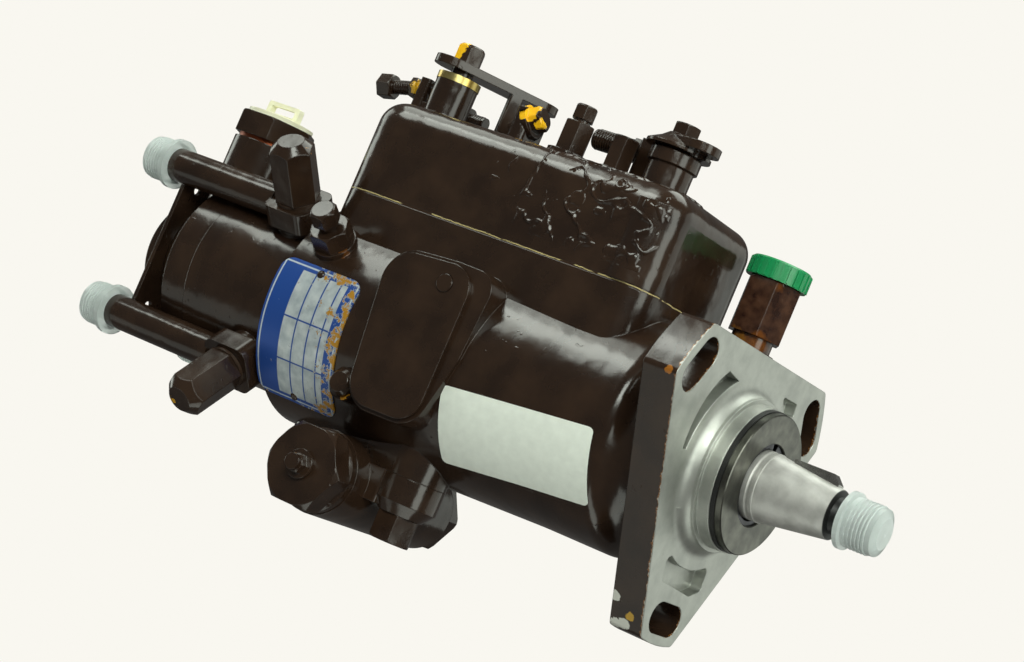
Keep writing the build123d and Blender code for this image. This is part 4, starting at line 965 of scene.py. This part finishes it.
# %% Dried runs of paint
RUN_LINE = (2.0, 50.0)  # Y and Z of the line that the rays aim at, mm
RUN_X = (-108.0, -37.0)
RUN_ANGLES = (-7.0, 72.0)  # degrees up from the near side
RUN_REACH = 36.0  # usual distance from the line to the skin, which sets the angle's steps
RUN_STEP = 0.4
RUN_HEIGHT = 0.8
RUN_SUNK = 0.08  # how far the runs' zero lies below the skin
RUN_BOTTOM = 0.35
RUN_GAP = 1.2  # a cell wider than this spans a jump in the skin and is left out


def eased(value, low, high):
    """0 below low and 1 above high, smooth between."""
    share = min(1.0, max(0.0, (value - low) / (high - low)))
    return share * share * (3 - 2 * share)


def run_height(point):
    """Height of the dried paint above the skin, for a place in mm."""
    # ridges stand where a noise field passes through zero, and a few blobs between them
    field = perlin.noise(point / 8.5) + 0.45 * perlin.noise(point / 4.2 + Vector((7, 3, 1)))
    ridge = 1.0 - eased(abs(field), 0.0, 0.17)
    blob = 0.7 * eased(perlin.noise(point / 4.8 + Vector((5, 5, 8))), 0.26, 0.5)
    ridge = max(ridge, blob)
    # coarser noise leaves smooth patches, and the runs fade out at both ends and low down
    patches = eased(perlin.noise(point / 13.0 + Vector((2, 9, 4))), -0.30, -0.08)
    ends = eased(point.x, RUN_X[0], RUN_X[0] + 12) * (1 - eased(point.x, RUN_X[1] - 3, RUN_X[1]))
    low = eased(point.z, 45.0, 50.0)
    return RUN_HEIGHT * ridge * patches * ends * low


def runs_mesh(skin):
    """Closed wrinkles over the part of a skin that faces the near side."""
    columns = int((RUN_X[1] - RUN_X[0]) / RUN_STEP)
    rows = int(math.radians(RUN_ANGLES[1] - RUN_ANGLES[0]) * RUN_REACH / RUN_STEP)
    heights = {}
    tops = {}
    bottoms = {}
    wrinkles = bmesh.new()
    for i in range(rows):
        angle = math.radians(RUN_ANGLES[0]) + i * RUN_STEP / RUN_REACH
        out = Vector((0, -math.cos(angle), math.sin(angle)))
        for j in range(columns):
            aim = Vector((RUN_X[0] + j * RUN_STEP, *RUN_LINE))
            hit = skin.ray_cast((aim + out * 80) * MM, -out)[0]
            if hit is None:
                continue
            heights[i, j] = run_height(hit / MM)
            tops[i, j] = wrinkles.verts.new(hit + out * (heights[i, j] - RUN_SUNK) * MM)
            bottoms[i, j] = wrinkles.verts.new(hit - out * RUN_BOTTOM * MM)
    kept = set()
    for i, j in tops:
        corners = [(i, j), (i, j + 1), (i + 1, j + 1), (i + 1, j)]
        if not all(corner in tops for corner in corners):
            continue
        places = [bottoms[corner].co for corner in corners]
        if max((a - b).length for a in places for b in places) > RUN_GAP * MM:
            continue
        if max(heights[corner] for corner in corners) > RUN_SUNK:
            kept.add((i, j))
    for i, j in sorted(kept):
        a, b, c, d = (i, j), (i, j + 1), (i + 1, j + 1), (i + 1, j)
        wrinkles.faces.new([tops[k] for k in (a, b, c, d)])
        wrinkles.faces.new([bottoms[k] for k in (d, c, b, a)])
        for k, m, beyond in (
            (a, b, (i - 1, j)),
            (b, c, (i, j + 1)),
            (c, d, (i + 1, j)),
            (d, a, (i, j - 1)),
        ):
            if beyond not in kept:
                wrinkles.faces.new([tops[m], tops[k], bottoms[k], bottoms[m]])
    loose = [v for v in wrinkles.verts if not v.link_faces]
    bmesh.ops.delete(wrinkles, geom=loose, context="VERTS")
    mesh = bpy.data.meshes.new("runs")
    wrinkles.to_mesh(mesh)
    wrinkles.free()
    for polygon in mesh.polygons:
        polygon.use_smooth = True
    return mesh


cover = nodes["governor_cover"]
cover_skin = BVHTree.FromPolygons(
    [cover.matrix_world @ v.co for v in cover.data.vertices],
    [tuple(p.vertices) for p in cover.data.polygons],
)
runs = runs_mesh(cover_skin)
add_piece("dried_runs", [(runs, IDENTITY)], cover_paint, "pump_body")
print("faces in the dried runs:", len(runs.polygons))

# %% [markdown]
# The picture needs an even pale background. A bright world would give it, but would also
# wash over the gloss from every side. A glowing floor and dome give it without lighting
# the part or showing in its gloss; only the milky caps let them through.

# %% Floor and dome
BACKDROP = "#F9F7F0"
FLOOR_Z = -2.0  # metres, far enough down for a view from below


def backdrop_finish():
    material = bpy.data.materials.new("pale backdrop")
    material.use_nodes = True
    tree = material.node_tree
    tree.nodes.clear()
    glow = add_node(tree, "ShaderNodeEmission", {"Color": linear(BACKDROP), "Strength": 1.0})
    add_node(tree, "ShaderNodeOutputMaterial", links={"Surface": (glow, "Emission")})
    return material


def camera_only(obj):
    obj.visible_diffuse = False
    obj.visible_glossy = False
    obj.visible_volume_scatter = False
    obj.visible_shadow = False


pale = backdrop_finish()
bpy.ops.mesh.primitive_plane_add(size=9.0, location=(0, 0, FLOOR_Z))
floor = bpy.context.object
bpy.ops.mesh.primitive_ico_sphere_add(subdivisions=4, radius=4.0, location=(0, 0, 0))
dome = bpy.context.object
for stage_piece in (floor, dome):
    stage_piece.data.materials.append(pale)
    camera_only(stage_piece)
floor.name = "floor"
dome.name = "dome"
print("stage:", floor.name, dome.name)

# %% [markdown]
# A glossy dark part shows the shape of its lights more than its own colour. Small strong
# lamps would leave hard white spots, so the lights are large and weak, and most of them
# stand where some faces mirror them: the faces towards the engine mirror the one behind
# the flange, and the upper side of the drum mirrors the top streak. The casting's flat
# near side mirrors none and shows the paint's own colour.

# %% Lights
WORLD = "#F4F2EC"
WORLD_STRENGTH = 0.12
LAMP_TINT = "#F3FAF0"

world = bpy.data.worlds.new("studio")
world.use_nodes = True
bpy.context.scene.world = world
sky = world.node_tree.nodes["Background"]
sky.inputs["Color"].default_value = linear(WORLD)
sky.inputs["Strength"].default_value = WORLD_STRENGTH

CENTRE = Vector((-0.09, 0.0, 0.01))
# name, direction from the part, distance, width and height in metres, power in watts
softboxes = [
    ("top streak", (-0.55, -0.18, 0.85), 0.9, 0.8, 0.24, 2.0),
    ("overhead", (0.1, 0.35, 1.0), 1.0, 0.8, 0.5, 5.0),
    ("high left", (-0.75, -0.6, 0.95), 1.2, 0.5, 0.4, 4.0),
    ("left edge", (-1.0, 0.05, 0.15), 1.0, 0.3, 0.8, 2.0),
    ("right", (1.0, -0.35, 0.25), 1.0, 0.45, 0.9, 5.0),
    ("behind the flange", (0.65, 0.75, 0.12), 1.0, 1.0, 1.0, 2.7),
    ("near camera fill", (0.45, -0.8, 0.45), 1.4, 0.7, 0.5, 12.0),
    ("under", (0.2, -0.1, -1.0), 1.0, 0.8, 0.4, 1.9),
    ("low left", (-0.5, -0.46, -0.75), 1.0, 0.7, 0.7, 0.8),
]
for name, direction, distance, width, height, power in softboxes:
    lamp = bpy.data.lights.new(name, "AREA")
    lamp.shape = "RECTANGLE"
    lamp.size = width
    lamp.size_y = height
    lamp.energy = power
    lamp.color = linear(LAMP_TINT)[:3]
    lamp_object = bpy.data.objects.new(name, lamp)
    bpy.context.scene.collection.objects.link(lamp_object)
    outward = Vector(direction).normalized()
    lamp_object.location = CENTRE + outward * distance
    lamp_object.rotation_euler = outward.to_track_quat("Z", "Y").to_euler()
    lamp_object.visible_camera = False
print("lights:", len(softboxes))

# %% [markdown]
# The camera stands a little below the level of the drive axis and is rolled, so the axis
# runs downhill to the right. A tracking constraint would aim it but keep it level. Its
# axes are built from three angles instead, which is safer than guessing Euler angles.

# %% Camera
AZIMUTH = math.radians(32.8)
ELEVATION = math.radians(-3.2)
ROLL = math.radians(23.0)
CAMERA_PLACE = (0.32703, -0.65333, -0.02633)  # metres
SENSOR_MM = 36.0
FOCAL_PIXELS = 2325.6
PICTURE_WIDTH = 1024
back = Vector(
    (
        math.sin(AZIMUTH) * math.cos(ELEVATION),
        -math.cos(AZIMUTH) * math.cos(ELEVATION),
        math.sin(ELEVATION),
    )
)
level = Vector((math.cos(AZIMUTH), math.sin(AZIMUTH), 0))
up = back.cross(level)
right = math.cos(ROLL) * level + math.sin(ROLL) * up
top = -math.sin(ROLL) * level + math.cos(ROLL) * up
camera_data = bpy.data.cameras.new("camera")
camera_data.sensor_width = SENSOR_MM
camera_data.sensor_fit = "HORIZONTAL"
camera_data.lens = FOCAL_PIXELS / PICTURE_WIDTH * SENSOR_MM
camera_data.clip_start = 0.01
camera = bpy.data.objects.new("camera", camera_data)
rows = [(right[k], top[k], back[k], CAMERA_PLACE[k]) for k in range(3)]
camera.matrix_world = Matrix((*rows, (0, 0, 0, 1)))
bpy.context.scene.collection.objects.link(camera)
bpy.context.scene.camera = camera
bpy.context.scene.view_settings.view_transform = "Standard"
bpy.context.scene.view_settings.look = "None"
print("lens mm:", round(camera_data.lens, 2))
